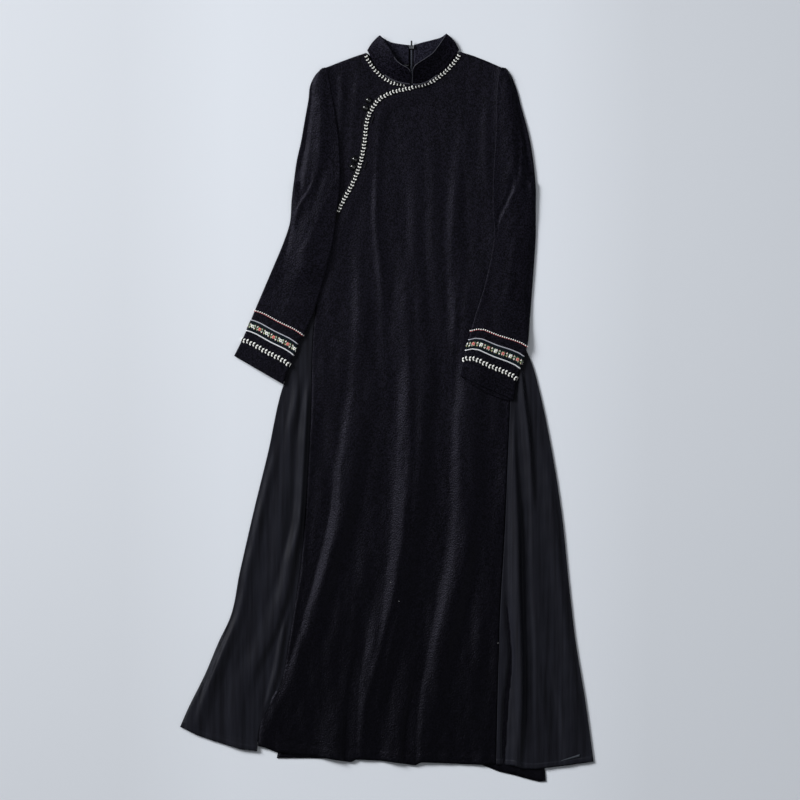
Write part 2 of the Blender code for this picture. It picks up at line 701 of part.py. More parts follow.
def side_panel(name, sign, back_side, edge, hem, folds, group):
    """A sheer panel let in between front and back: its front layer runs out from the
    front seam, turns at the edge, and its back layer returns on the floor. Below the
    slit the two layers part."""
    front_columns, back_columns, turns = 9, 5, 3
    fold_height, turn_reach, slit_gap = 2.9, 1.2, 0.7
    rise, flat_edge, rise_slope = 1.0, 4, 16
    seam_reach, fold_from_seam, fold_from_edge = 60, 14, 20
    seam = front_seam(sign)
    seam_back = back_seam(back_side, sign)
    top = seam[0][1]
    hem_seam, hem_edge = (hem[-1], hem[0]) if sign < 0 else (hem[0], hem[-1])

    def lower_end(share):
        return straight(hem, hem_seam[0] + share * (hem_edge[0] - hem_seam[0]))

    def level(row, share):
        """y of a row at a share of the way out from the front seam."""
        down = (top - seam[row][1]) / (top - seam[-1][1])
        spread = top + down * (lower_end(share) - top)
        if share > 0 or row == len(seam) - 1:
            return spread
        return seam[row][1]

    def edge_x(y):
        return smooth(edge, y) - sign * turn_reach

    def front_point(row, share):
        seam_x, _, seam_z = seam[row]
        y = level(row, share)
        if row == len(seam) - 1:
            above = seam[row - 1]
            seam_x += (lower_end(0) - seam[row][1]) * (seam_x - above[0]) / (seam[row][1] - above[1])
        start = seam_x + sign * SEAM_GAP
        x = start + share * (edge_x(y) - start)
        from_seam, to_edge = abs(x - start), abs(edge_x(y) - x)
        z = fold_height + rise * ease((to_edge - flat_edge) / rise_slope)
        with_seam = (1 - ease(from_seam / seam_reach)) * ease(to_edge / fold_from_seam)
        z += (seam_z - FRONT_LEVEL) * with_seam
        raised = sum(ridge(fold, x, y) for fold in folds)
        return x, y, z + raised * ease(from_seam / fold_from_seam) * ease(to_edge / fold_from_edge)

    def turn_point(row, quarter, half):
        """On the turn at the edge: the quarters run from the top of it to the floor."""
        y = level(row, 1)
        angle = quarter * math.pi / 2
        x = edge_x(y) + sign * turn_reach * math.sin(angle)
        return x, y, half + half * math.cos(angle)

    def place(column, row):
        half = fold_height / 2
        if column < front_columns:
            return front_point(row, column / (front_columns - 1))
        column -= front_columns
        if column < 2 * turns + 1:
            parted = level(row, 1) < SLIT_Y and column > turns
            return turn_point(row, (column + 1) / (turns + 1), half - slit_gap * parted)
        share = (column - 2 * turns) / back_columns
        start = turn_point(row, 2, half)
        end_x, end_y = seam_back[row]
        x = start[0] + share * (end_x + sign * SEAM_GAP - start[0])
        return x, start[1] + share * (end_y - start[1]), 0.0

    columns = front_columns + 2 * turns + 1 + back_columns
    shape = sheet_mesh(columns, len(seam), place, flip=sign > 0)
    return wall(to_object(name, shape, "sheer", group), ORGANZA, -1)


# ---------------------------------------------------------------- collar and trims

def collar_half(name, rows, group):
    """One half of the stand collar, lofted from its seam to its top edge, with its
    front corner rounded. It bows out a little at the side of the neck, its seventh row."""
    heights, turns = 5, 19
    side_row = 6
    table = np.array(rows, float)
    mid = (table[:, :3] + table[:, 3:]) / 2
    reach = np.concatenate([[0.0], np.cumsum(np.linalg.norm(np.diff(mid, axis=0), axis=1))])
    measured = tuple(map(tuple, np.column_stack([reach, table])))
    near = [0.0, 1.5, 4.0, 7.0]
    stations = near + list(np.linspace(COLLAR_CORNER + 1, reach[-1], turns - len(near)))
    on_right = rows[0][0] > CENTRE_X
    bow = (1, 1) if on_right else (-1, 1)
    bow = np.array([*bow, 0]) / math.sqrt(2) * COLLAR_BOW[on_right]

    def place(column, row):
        at = stations[column]
        spot = [smooth(measured, at, value) for value in range(1, 7)]
        low, high = np.array(spot[:3]), np.array(spot[3:])
        tall = float(np.linalg.norm(high - low))
        rest = max(0.0, COLLAR_CORNER - at)
        cut = COLLAR_CORNER - math.sqrt(COLLAR_CORNER ** 2 - rest ** 2)
        share = row / (heights - 1) * (1 - cut / tall)
        near_side = 1 - ease(abs(at - reach[side_row]) / COLLAR_BOW_REACH)
        return low + share * (high - low) + bow * near_side * math.sin(math.pi * share)

    shape = sheet_mesh(len(stations), heights, place)
    return wall(to_object(name, shape, "wool", group), WOOL, 0, even=False)


def strip_on(name, path, width, level, look, group):
    """A flat strip along a path, made from the heights of the panel it lies on."""
    left, right = beside(path, width / 2), beside(path, -width / 2)

    def place(column, row):
        x, y = (right, path[:, :2], left)[column][row]
        return x, y, level(x, y) + WOOL + SEAM

    shape = sheet_mesh(3, len(path), place)
    thicken_up(shape, TRIM)
    return to_object(name, shape, look, group)


def braids(group):
    """The neck braid on the yoke, and the braid that runs round the neck of the main
    front and down its placket, with a satin piping along the placket's very edge."""
    beside_neck = BRAID_WIDTH / 2 + EDGE_GAP
    beside_piping = PIPING_WIDTH + 2 * EDGE_GAP + BRAID_WIDTH / 2
    left_neck = beside(along(NECK[:NECK_CENTRE], 14), -beside_neck)
    strip_on(
        "neck_braid_left", left_neck[1:-1], BRAID_WIDTH, lambda x, y: YOKE_LEVEL,
        "leaf_trim", group,
    )
    placket = along(PLACKET[::-1], 40)
    placket = placket[placket[:, 1] > BRAID_END_Y]
    piping = beside(placket[:-1], -(PIPING_WIDTH / 2 + SEAM))
    strip_on("placket_piping", piping, PIPING_WIDTH, front_underside, "satin", group)
    neck = along(NECK[NECK_CENTRE:], 17)[1:-1]
    edge = np.vstack([beside(placket, -beside_piping)[:-1], beside(neck, -beside_neck)])
    strip_on("placket_braid", along(edge, 48), BRAID_WIDTH, front_underside, "leaf_trim", group)


def knot(name, x, y, low, group):
    """A round button knot, a little flatter than a ball."""
    ball = bmesh.new()
    bmesh.ops.create_uvsphere(ball, u_segments=12, v_segments=8, radius=KNOT / 2 * MM)
    bmesh.ops.scale(ball, vec=(1, 1, KNOT_HEIGHT / KNOT), verts=ball.verts)
    item = to_object(name, ball, "bead", group)
    item.location = (x * MM, y * MM, (low + KNOT_HEIGHT / 2) * MM)


def frogs(group):
    """Two pairs of knots on the yoke, each in a cord loop, and their tails on the front."""
    base = YOKE_LEVEL + WOOL + SEAM
    for place, frog in FROGS.items():
        for number, (x, y) in enumerate(frog["knots"], 1):
            knot(f"frog_{place}_knot_{number}", x, y, base, group)
            loop = []
            for turn in np.radians(frog["opens"] + np.linspace(*LOOP_TURNS, 12)):
                across, up = LOOP_RADIUS * math.cos(turn), LOOP_RADIUS * math.sin(turn)
                loop.append((x + across, y + up, base + CORD / 2))
            cord_piece(f"frog_{place}_loop_{number}", loop, CORD, "frog_cord", group)
        x, y = frog["tail"]
        tail = []
        for step in np.linspace(-TAIL_REACH, TAIL_REACH, 6):
            spot = (x + TAIL_LEAN * step, y + step)
            tail.append((*spot, front_underside(*spot) + WOOL + SEAM_GAP + CORD / 2))
        cord_piece(f"frog_{place}_tail", tail, CORD, "frog_cord", group)


def bevelled(item, width):
    bevel = item.modifiers.new("Edges", "BEVEL")
    bevel.width = width * MM
    bevel.segments = 2


def zip_slider(group, low_y):
    """The slider: a plate with a rail up each side, between which the pull turns."""
    half, inner = SLIDER_WIDTH / 2, SLIDER_WIDTH / 2 - RAIL_THICK
    top = SLIDER_LEVEL + SLIDER_THICK
    profile = (
        (-half, SLIDER_LEVEL), (half, SLIDER_LEVEL), (half, top + RAIL_HEIGHT),
        (inner, top + RAIL_HEIGHT), (inner, top), (-inner, top),
        (-inner, top + RAIL_HEIGHT), (-half, top + RAIL_HEIGHT),
    )
    shape = bmesh.new()
    corners = [shape.verts.new(((CENTRE_X + x) * MM, low_y * MM, z * MM)) for x, z in profile]
    face = shape.faces.new(corners)
    made = bmesh.ops.extrude_face_region(shape, geom=[face], use_keep_orig=True)
    far = [part for part in made["geom"] if isinstance(part, bmesh.types.BMVert)]
    bmesh.ops.translate(shape, verts=far, vec=(0, SLIDER_LENGTH * MM, 0))
    bmesh.ops.recalc_face_normals(shape, faces=shape.faces)
    bevelled(to_object("zip_slider", shape, "zip_metal", group), 0.3)


def zip_pull(group, hinge_y):
    """The pull tab, parented to the line that it turns about."""
    hinge = bpy.data.objects.new("pull_hinge", None)
    low = SLIDER_LEVEL + SLIDER_THICK + SEAM
    hinge.location = (CENTRE_X * MM, hinge_y * MM, (low + PULL_THICK / 2) * MM)
    group.objects.link(hinge)
    shape = bmesh.new()
    bmesh.ops.create_cube(shape, size=MM)
    bmesh.ops.scale(shape, vec=(PULL_WIDTH, PULL_LENGTH, PULL_THICK), verts=shape.verts)
    tab = to_object("zip_pull", shape, "zip_metal", group)
    tab.parent = hinge
    tab.location = (0, (PULL_LENGTH / 2 - HINGE_FROM_END) * MM, 0)
    bevelled(tab, 0.25)


def zip_parts(group):
    """The centre-back zip between the back panels, its slider, and its pull tab."""
    left, right = CENTRE_X - ZIP_WIDTH / 2, CENTRE_X + ZIP_WIDTH / 2
    outline = [(left, ZIP_END), (right, ZIP_END), (right, ZIP_TOP), (left, ZIP_TOP)]
    flat_piece("zip_chain", outline, SEAM, ZIP_THICK, "zip_tape", group)
    zip_slider(group, ZIP_TOP - SLIDER_LENGTH)
    zip_pull(group, ZIP_TOP - HINGE_FROM_TOP)


def main():
    clear_scene()
    dress = collection("cheongsam")
    back_panels(dress)
    front_yoke(dress)
    front_main(dress)
    for name, rows, armhole in (
        ("left", SLEEVE_LEFT, ARMHOLE_LEFT), ("right", SLEEVE_RIGHT, ARMHOLE_RIGHT),
    ):
        sleeve("sleeve_" + name, rows, armhole, dress)
        for trim, (start, end, look) in CUFF_TRIMS.items():
            cuff_trim(f"cuff_{trim}_{name}", rows, armhole, (start, end), look, dress)
    for name, sign, side, edge, hem in (
        ("left", -1, BACK_SIDE_LEFT, SHEER_LEFT_EDGE, HEM_SHEER_LEFT),
        ("right", 1, BACK_SIDE_RIGHT, SHEER_RIGHT_EDGE, HEM_SHEER_RIGHT),
    ):
        folds = [fold for key, fold in SHEER_FOLDS.items() if name in key]
        side_panel("side_panel_" + name, sign, side, edge, hem, folds, dress)
    collar_half("collar_left", COLLAR_LEFT, dress)
    collar_half("collar_right", COLLAR_RIGHT, dress)
    braids(dress)
    frogs(dress)
    zip_parts(dress)


main()
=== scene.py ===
"""A cheongsam laid flat on its back: its cloth, trims, frog closures and zip, dressed over
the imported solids.

Sizes are in millimetres, and are scaled to metres as each mesh is made. x runs across
the dress, y from the hem (-) to the collar (+), and z up from the surface it lies on.
The tables up to the frog closures are those that the solids are made from.
"""

import functools
import math

import bpy
import numpy as np
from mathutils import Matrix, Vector
from mathutils.geometry import delaunay_2d_cdt


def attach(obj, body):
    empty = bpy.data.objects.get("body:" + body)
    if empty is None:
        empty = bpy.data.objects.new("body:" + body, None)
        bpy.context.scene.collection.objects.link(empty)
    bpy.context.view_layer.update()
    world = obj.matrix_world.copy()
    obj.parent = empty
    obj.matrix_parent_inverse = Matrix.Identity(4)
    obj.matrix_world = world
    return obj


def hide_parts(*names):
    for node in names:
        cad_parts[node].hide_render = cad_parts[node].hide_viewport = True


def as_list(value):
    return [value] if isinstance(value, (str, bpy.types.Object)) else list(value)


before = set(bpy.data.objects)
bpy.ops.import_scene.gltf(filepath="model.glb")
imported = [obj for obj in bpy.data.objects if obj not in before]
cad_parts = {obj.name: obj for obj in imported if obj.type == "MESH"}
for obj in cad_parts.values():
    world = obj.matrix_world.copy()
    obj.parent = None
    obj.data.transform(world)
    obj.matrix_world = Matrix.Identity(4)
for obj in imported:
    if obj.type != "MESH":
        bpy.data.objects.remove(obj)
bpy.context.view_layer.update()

MM = 0.001

# Walls of the wool and the trims, and the gaps at seams
WOOL = 1.8
TRIM = 1.2
SEAM = 0.3
SEAM_GAP = 0.6

# Levels of the laid panels, as the height of each underside
YOKE_LEVEL = WOOL + SEAM
FRONT_LEVEL = 2.4
OVERLAP_LEVEL = YOKE_LEVEL + WOOL + SEAM

# Body outline: half of it for each side, as y and x
SIDE_LEFT = (
    (-641, -245), (-596, -240), (-560, -224), (-522, -203), (-430, -184), (-309, -165),
    (-187, -154), (-67, -147), (20, -143), (126, -141), (197, -135), (225, -133),
    (286, -140), (368, -159), (428, -165),
)
SIDE_RIGHT = (
    (-674, 207), (-504, 211), (-402, 214), (-248, 223), (-128, 228), (18, 234),
    (130, 237), (197, 236), (225, 232), (292, 242), (368, 261), (428, 266),
)
ARMHOLE_LEFT = (
    (428, -165), (449, -142), (476, -123), (510, -111), (558, -106), (605, -111), (646, -119),
)
ARMHOLE_RIGHT = (
    (428, 266), (449, 247), (476, 230), (510, 219), (558, 216), (605, 217), (646, 221),
)
BACK_SIDE_LEFT = (
    (-664, -209), (-592, -195), (-440, -173), (-288, -157), (-128, -146), (130, -135),
    (206, -133),
)
BACK_SIDE_RIGHT = (
    (-708, 302), (-680, 300), (-592, 295), (-440, 287), (-288, 276), (-128, 264), (16, 253),
    (130, 244), (206, 236),
)
UNDERARM_Y = 428
WAIST_Y = 206
SHOULDER_Y = 646

# Neck and placket edges, as x and y
NECK = (
    (-38, 676), (-29, 661), (-17, 644), (-3, 632), (12, 623), (28, 619), (47, 616),
    (62, 616), (76, 620), (91, 629), (108, 642), (124, 659), (138, 678),
)
BACK_NECK = (
    (-38, 676), (-28, 667), (-3, 657), (25, 652), (43, 651), (52, 651), (69, 652),
    (97, 657), (123, 667), (138, 678),
)
PLACKET = (
    (47, 615), (33, 612), (11, 607), (-5, 600), (-19, 591), (-30, 577), (-38, 563),
    (-44, 544), (-46, 527), (-48, 508), (-51, 489), (-56, 467), (-63, 447), (-71, 428),
    (-83, 406), (-94, 385), (-104, 362), (-117, 330), (-131, 301), (-140, 286),
)
SHOULDER_LEFT = ((-62, 668), (-89, 658))
SHOULDER_RIGHT = ((164, 670), (192, 659))
CENTRE_X = 47

# The neck's row at the centre front
NECK_CENTRE = 6

# The yoke's underlap past the placket, and how far from it the front rises over it
UNDERLAP = 14
RISE_REACH = 46
RISE_SLOPE = 24
RISE_SPARE = 0.2

# Hems, as x and y
HEM_FRONT = (
    (-245, -641), (-231, -644), (-209, -653), (-144, -660), (-68, -672), (-57, -666),
    (-2, -670), (54, -678), (65, -672), (158, -676), (181, -677), (207, -675),
)
HEM_BACK = (
    (-209, -664), (-144, -664), (46, -671), (181, -677), (211, -689), (241, -696),
    (273, -705), (290, -709), (302, -709),
)
HEM_SHEER_LEFT = (
    (-392, -605), (-359, -621), (-325, -632), (-303, -639), (-277, -647), (-245, -651),
)
HEM_SHEER_RIGHT = ((207, -676), (242, -678), (256, -684), (282, -685), (335, -679), (392, -671))

# Outer edges of the sheer panels, as y and x
SHEER_LEFT_EDGE = (
    (-605, -393), (-573, -379), (-504, -345), (-438, -317), (-403, -300), (-309, -279),
    (-187, -251), (-85, -226), (43, -197), (104, -174), (149, -155), (206, -143),
)
SHEER_RIGHT_EDGE = (
    (-671, 393), (-567, 379), (-430, 357), (-333, 346), (-206, 333), (-67, 311),
    (29, 291), (82, 277), (140, 254), (206, 244),
)

# Top of the slits in the sheer panels
SLIT_Y = -410

# Lengthwise folds: y, x of the crest, height, and the widths of its left and right slopes
FOLDS = {
    "dart_left": (
        (586, -11, 0, 12, 20), (427, -19, 1.5, 12, 20), (352, -21, 2, 12, 22),
        (246, -11, 2, 14, 24), (151, -5, 1, 14, 24), (35, -3, 0, 14, 24),
    ),
    "left": (
        (415, -40, 0, 20, 30), (320, -47, 1.5, 20, 30), (225, -51, 2.5, 20, 32),
        (45, -60, 4, 20, 34), (-117, -87, 6, 18, 40), (-231, -97, 7.5, 18, 42),
        (-307, -116, 9, 18, 44), (-383, -140, 10, 18, 44), (-459, -163, 11, 18, 44),
        (-535, -190, 11, 18, 42), (-596, -222, 9, 18, 40), (-641, -245, 8, 18, 38),
    ),
    "left_lower": (
        (-288, -85, 0, 20, 20), (-354, -85, 2, 20, 20), (-468, -102, 4, 20, 22),
        (-552, -108, 6, 22, 22), (-662, -104, 8, 24, 24),
    ),
    "middle": (
        (320, 42, 0, 30, 18), (200, 36, 3, 32, 18), (24, 40, 5, 34, 18),
        (-98, 40, 7, 34, 18), (-218, 29, 9, 34, 18), (-339, 12, 11, 34, 18),
        (-461, -17, 13, 36, 18), (-582, -47, 15, 36, 20), (-664, -59, 16, 36, 22),
    ),
    "right_bust": (
        (529, 86, 0, 18, 24), (491, 86, 1, 18, 24), (352, 88, 1.5, 18, 24),
        (206, 93, 1.5, 18, 24), (64, 95, 1, 18, 24), (-22, 97, 0, 18, 24),
    ),
    "right": (
        (510, 137, 0, 16, 30), (427, 131, 1.5, 16, 32), (276, 126, 2.5, 16, 34),
        (170, 133, 3, 18, 38), (24, 137, 5, 20, 42), (-98, 139, 6.5, 20, 44),
        (-248, 131, 8.5, 22, 46), (-370, 112, 10.5, 22, 46), (-491, 86, 12, 22, 48),
        (-582, 65, 13, 22, 50), (-675, 59, 13, 22, 50),
    ),
    "right_side": (
        (54, 188, 0, 16, 20), (-174, 185, 1.5, 16, 20), (-364, 177, 2.5, 16, 20),
        (-554, 173, 3, 18, 20), (-677, 169, 3.5, 18, 20),
    ),
}
SHEER_FOLDS = {
    "sheer_left_seam": (
        (-300, -190, 0, 20, 16), (-420, -206, 2, 20, 16), (-520, -232, 4, 24, 16),
        (-600, -262, 6, 26, 16), (-650, -266, 7, 28, 18),
    ),
    "sheer_left_outer": (
        (-60, -195, 0, 24, 24), (-250, -232, 3, 26, 26), (-450, -282, 5, 28, 28),
        (-620, -322, 6, 30, 30),
    ),
    "sheer_right_pleat": (
        (20, 262, 0, 8, 30), (-60, 264, 3, 8, 32), (-200, 268, 4, 8, 36),
        (-400, 272, 5, 9, 40), (-560, 274, 6, 9, 42), (-686, 272, 7, 10, 44),
    ),
    "sheer_right_outer": (
        (-200, 310, 0, 24, 20), (-400, 322, 3, 26, 22), (-560, 336, 5, 28, 24),
        (-680, 346, 6, 30, 26),
    ),
}

# Sleeves, as rows from the cuff up: distance from the cuff, outer fold x and y, inner fold x and y
SLEEVE_LEFT = (
    (0, -290, 100, -197, 46), (36, -274, 132, -184, 84), (56, -266, 150, -176, 103),
    (79, -257, 171, -168, 125), (97, -250, 188, -158, 141), (135, -236, 221, -141, 177),
    (190, -216, 268, -123, 235), (241, -196, 316, -110, 282), (285, -184, 354, -100, 330),
    (328, -181, 394, -95, 374), (371, -177, 428, -89, 424), (414, -171, 471, -89, 468),
    (452, -163, 507, -91, 510), (493, -156, 547, -96, 550), (529, -149, 586, -102, 584),
    (563, -144, 618, -108, 617), (588, -133, 641, -114, 641),
)
SLEEVE_RIGHT = (
    (0, 240, 16, 138, 63), (32, 246, 54, 144, 91), (57, 254, 79, 150, 113),
    (78, 261, 101, 156, 132), (97, 267, 120, 160, 149), (139, 272, 172, 169, 180),
    (190, 276, 225, 184, 227), (245, 280, 278, 197, 282), (295, 283, 330, 204, 332),
    (340, 283, 377, 201, 373), (385, 283, 421, 201, 419), (437, 278, 472, 204, 472),
    (489, 269, 523, 207, 525), (536, 256, 571, 208, 571), (578, 244, 614, 210, 611),
    (607, 232, 641, 215, 640),
)

# x of each sleeve's outer fold at the underarm, and the distance of the underarm from the cuff
UNDERARM_OUTER = (-177, 283)
UNDERARM_DISTANCE = 371
SEAM_AT_CUFF = 0.36

# The height of a laid sleeve, and its gap over what it lies on
SLEEVE_BULK = 6.6
SLEEVE_REST = 0.6

# How far a sleeve reaches past the body's edge before it slopes to the floor
REST_REACH = 5
REST_SLOPE = 26

# The sleeve's lower layer rises for the trims round it, up to a distance from the cuff
TRIM_LIFT = TRIM + SEAM
TRIM_LIFT_FROM = 130
TRIM_LIFT_SLOPE = 30

# Cuff trims: the distances from the cuff at which each starts and ends
CUFF_TRIMS = {"leaf_braid": (30, 37), "ribbon": (53, 77), "twine": (93, 96)}

# Collar halves, from the centre front round to the centre back:
# x, y and z of the seam, then x, y and z of the top edge
COLLAR_LEFT = (
    (45.6, 617.0, 4.6, 45.6, 645.0, 26), (29.8, 619.6, 4.6, 30.8, 650.4, 25.5),
    (13.0, 624.4, 4.6, 17.5, 661.2, 24), (-1.8, 633.4, 4.6, 8.9, 676.4, 21),
    (-15.7, 645.8, 4.9, 0.4, 689.7, 16), (-26.9, 662.2, 5.2, -7.2, 701.1, 11),
    (-36.6, 680.0, 3.8, -12.9, 708.4, 5.5), (-26.5, 669.8, 1.3, -5.3, 702.8, 1.5),
    (-3.0, 659.0, 1.1, 8.0, 696.0, 1.2), (23.0, 653.6, 1.1, 25.1, 692.5, 1.1),
    (42.6, 652.4, 1.1, 42.4, 690.3, 1.1),
)
COLLAR_RIGHT = (
    (48.4, 617.0, 4.6, 49.4, 647.9, 26.5), (62.1, 617.2, 4.6, 60.2, 655.5, 26),
    (76.5, 621.8, 4.6, 72.6, 663.5, 24.5), (90.2, 630.6, 4.6, 86.8, 673.9, 22),
    (107.0, 643.6, 4.9, 97.3, 687.2, 17), (122.5, 660.8, 5.2, 106.4, 700.6, 11.5),
    (136.6, 681.0, 3.8, 112.8, 711.4, 5.5), (122.0, 668.8, 1.3, 103.9, 705.5, 1.5),
    (98.5, 659.0, 1.1, 87.8, 700.5, 1.2), (72.0, 653.6, 1.1, 68.8, 695.8, 1.1),
    (51.4, 652.4, 1.1, 51.6, 690.8, 1.1),
)
# How far the left and right halves bow out at the sides, and over what length
COLLAR_BOW = (2.2, 3.2)
COLLAR_BOW_REACH = 34

# The braids and the piping on the front
BRAID_WIDTH = 8.4
BRAID_END_Y = 352
PIPING_WIDTH = 1.6
EDGE_GAP = 0.4

# Zip: the width of its opening, its top and its lower end
ZIP_WIDTH = 6.6
ZIP_TOP = 690
ZIP_END = 225

# Frog cords, knots and loops
CORD = 1.8
KNOT = 10.5
KNOT_HEIGHT = 7.8
# Loops: their radius, and the angles at which they start and end, in degrees
LOOP_RADIUS = 5.9
LOOP_TURNS = (62, 298)
# Tails: half their length along the dress, and their lean across it
TAIL_REACH = 7
TAIL_LEAN = 0.35

# Frog closures: the two knots of each, the way their loops open, and their tail on the front
FROGS = {
    "upper": {"knots": ((-34.6, 585.2), (-40.5, 570.8)), "opens": -30, "tail": (-27.0, 549.0)},
    "lower": {"knots": ((-61.0, 472.9), (-64.4, 458.7)), "opens": -16, "tail": (-40.5, 463.0)},
}

# ---------------------------------------------------------------- sizes of the cloth shown

# Walls of the wool and of the organza, and the spacing of a piece's points
CLOTH = 1.3
FINE = 0.35
GRID, BACK_GRID = 3.5, 6.0

# The front's hem: its depth, how much thicker it is, and how wide its stitching pulls in
HEM_DEPTH = 19.0
HEM_RAISE = 0.35
HEM_STITCH = 1.3

# Thickness of a laid sleeve along its folds, and at its head, with the length between
EDGE_BULK = 3.6
HEAD_BULK, HEAD_REACH = 2.5, 190.0

# How far the body lifts towards the armholes, and over what width
HEAD_RISE, HEAD_RISE_REACH = 2.6, 18.0

# Unevenness of each cloth: its height, its size across and along the dress, and its seed
UNEVEN = {
    "front": ((0.7, 110, 260, 11), (0.5, 42, 420, 12)),
    "front_fine": ((0.12, 19, 40, 13),),
    "yoke": ((0.4, 60, 220, 21),),
    "yoke_fine": ((0.08, 18, 40, 22),),
    "back": ((0.12, 60, 150, 31),),
    "sleeve": ((0.2, 34, 70, 41), (0.08, 15, 30, 44)),
    "sheer": ((0.35, 44, 700, 51), (0.06, 16, 400, 54), (0.35, 90, 90, 57)),
}


# How much higher the soft folds stand in the cloth than in the solids, and finer folds,
# as y, x of the crest, height, and the widths of the left and right slopes
FOLD_GAIN = (
    (-690, 0.1), (-600, 0.15), (-480, 0.3), (-400, 0.42), (-250, 0.5), (-100, 0.6), (100, 0.9),
    (200, 1.2), (700, 1.35),
)
FINE_FOLDS = {
    "dart_left": (
        (590, -12, 0, 6, 9), (500, -16, 0.7, 6, 9), (352, -21, 1.0, 6, 9), (246, -11, 1.0, 6, 9),
        (130, -5, 0, 6, 9),
    ),
    "waist": (
        (520, 50, 0, 18, 24), (400, 52, 1.6, 18, 24), (300, 54, 2.0, 18, 24),
        (190, 52, 1.4, 18, 24), (90, 48, 0, 18, 24),
    ),
    "chest_valley": (
        (570, 160, 0, 22, 20), (500, 158, -2.4, 22, 20), (420, 158, -2.4, 22, 20),
        (350, 158, 0, 22, 20),
    ),
    "chest_outer": (
        (600, 190, 0, 12, 14), (540, 188, 1.2, 12, 14), (450, 190, 1.2, 12, 14), (380, 196, 0, 12, 14),
    ),
    "left_valley": (
        (-60, -92, 0, 14, 12), (-231, -120, -1.8, 14, 12), (-383, -162, -2.4, 14, 12),
        (-480, -190, -1.6, 12, 10), (-560, -215, 0, 10, 8),
    ),
    "middle_valley": (
        (-300, -30, 0, 16, 20), (-420, -48, -1.4, 12, 24), (-500, -62, -3.0, 9, 30),
        (-600, -75, -6.5, 7, 36), (-668, -78, -7.5, 7, 36),
    ),
    "left_lip": (
        (-430, -62, 0, 34, 8), (-520, -76, 1.6, 40, 8), (-600, -86, 4.2, 44, 8),
        (-672, -89, 5.2, 44, 8),
    ),
    "right_lip": (
        (-450, 62, 0, 34, 8), (-530, 44, 1.6, 40, 8), (-600, 29, 3.8, 44, 8),
        (-676, 25, 4.8, 44, 8),
    ),
    "right_valley": (
        (-300, 100, 0, 14, 16), (-450, 72, -1.6, 12, 22), (-530, 52, -3.0, 9, 30),
        (-600, 38, -5.5, 7, 34), (-676, 34, -7.0, 7, 34),
    ),
    "sleeve_valley": (
        (340, 158, 0, 12, 12), (200, 142, -1.6, 12, 12), (110, 134, -2.2, 12, 14),
        (50, 132, -2.2, 12, 16), (-10, 134, 0, 12, 16),
    ),
    "between": (
        (0, 92, 0, 18, 18), (-200, 88, 0.7, 18, 18), (-400, 52, 0.8, 18, 18), (-560, 8, 0.6, 18, 18),
        (-674, 0, 0.4, 18, 18),
    ),
}
# Rolled folds, which rise sharply at their left foot, as y, x of the foot, height, and
# the widths of the rise and the fall
ROLLS = {
    "left": (
        (60, -66, 0, 30, 30), (-41, -82, 4.2, 30, 32), (-79, -88, 5.2, 30, 32),
        (-136, -97, 5.6, 30, 32), (-231, -116, 5.4, 26, 32), (-288, -130, 4.6, 22, 30),
        (-345, -144, 3.6, 20, 30), (-402, -157, 2.4, 20, 30), (-480, -178, 0, 20, 30),
    ),
    "middle": (
        (260, 28, 0, 40, 30), (110, 25, 4.2, 44, 34), (-22, 21, 7.6, 44, 36),
        (-79, 18.5, 8.8, 44, 36), (-136, 16.5, 9.2, 44, 36), (-193, 11, 9.2, 42, 36),
        (-250, 7, 8.6, 38, 36), (-307, 0.5, 7.8, 34, 36), (-364, -4.5, 6.8, 30, 34),
        (-440, -17, 5.8, 28, 32), (-516, -38, 4.2, 26, 32), (-592, -56, 2.2, 24, 32),
        (-668, -66, 1.0, 24, 32),
    ),
    "right": (
        (320, 130, 0, 32, 30), (150, 130, 2.8, 36, 30), (-22, 129, 5.4, 36, 32),
        (-79, 128, 6.6, 36, 32), (-136, 127, 7.0, 36, 32), (-193, 124, 7.0, 36, 32),
        (-250, 120.2, 6.8, 34, 32), (-307, 114, 6.2, 30, 32), (-364, 104, 5.6, 28, 32),
        (-440, 89, 4.6, 26, 32), (-516, 75, 3.4, 26, 32), (-592, 61, 1.8, 26, 32),
        (-668, 55, 0.8, 26, 32),
    ),
}
YOKE_FOLDS = {
    "outer": (
        (662, -84, 0, 11, 12), (610, -85, 1.7, 11, 12), (520, -90, 1.5, 11, 12), (430, -100, 0, 11, 12),
    ),
    "inner": (
        (640, -55, 0, 10, 10), (595, -58, 1.3, 10, 10), (520, -64, 1.1, 10, 10), (450, -74, 0, 10, 10),
    ),
    "low": (
        (480, -106, 0, 9, 12), (430, -112, 1.4, 9, 12), (370, -122, 1.2, 9, 12), (300, -136, 0, 9, 12),
    ),
}
# The roll of the front's left seam, as y and height
SEAM_ROLL = ((-620, 0.0), (-560, 0.1), (-500, 0.5), (-400, 0.9), (-200, 0.9), (0, 0.3), (200, 0.0))

# ---------------------------------------------------------------- curves and heights

@functools.lru_cache(maxsize=None)
def prepared(rows):
    """A table's rows in order of their first column, and the slopes of the others."""
    table = np.array(sorted(rows), float)
    return table, np.gradient(table, table[:, 0], axis=0)


def smooth(rows, at, column=1):
    """One column of a table against its first, as a smooth curve through its rows."""
    table, slopes = prepared(rows)
    places = table[:, 0]
    at = np.clip(at, places[0], places[-1])
    i = np.clip(np.searchsorted(places, at, side="right") - 1, 0, len(places) - 2)
    span = places[i + 1] - places[i]
    f = (at - places[i]) / span
    start = (1 + 2 * f) * (1 - f) ** 2 * table[i, column]
    start += f * (1 - f) ** 2 * span * slopes[i, column]
    end = f * f * (3 - 2 * f) * table[i + 1, column]
    return start + end - f * f * (1 - f) * span * slopes[i + 1, column]


def straight(rows, at, column=1):
    table, _ = prepared(rows)
    return np.interp(at, table[:, 0], table[:, column])


def ease(f):
    """0 to 1, level at both ends."""
    f = np.clip(f, 0.0, 1.0)
    return f * f * (3 - 2 * f)


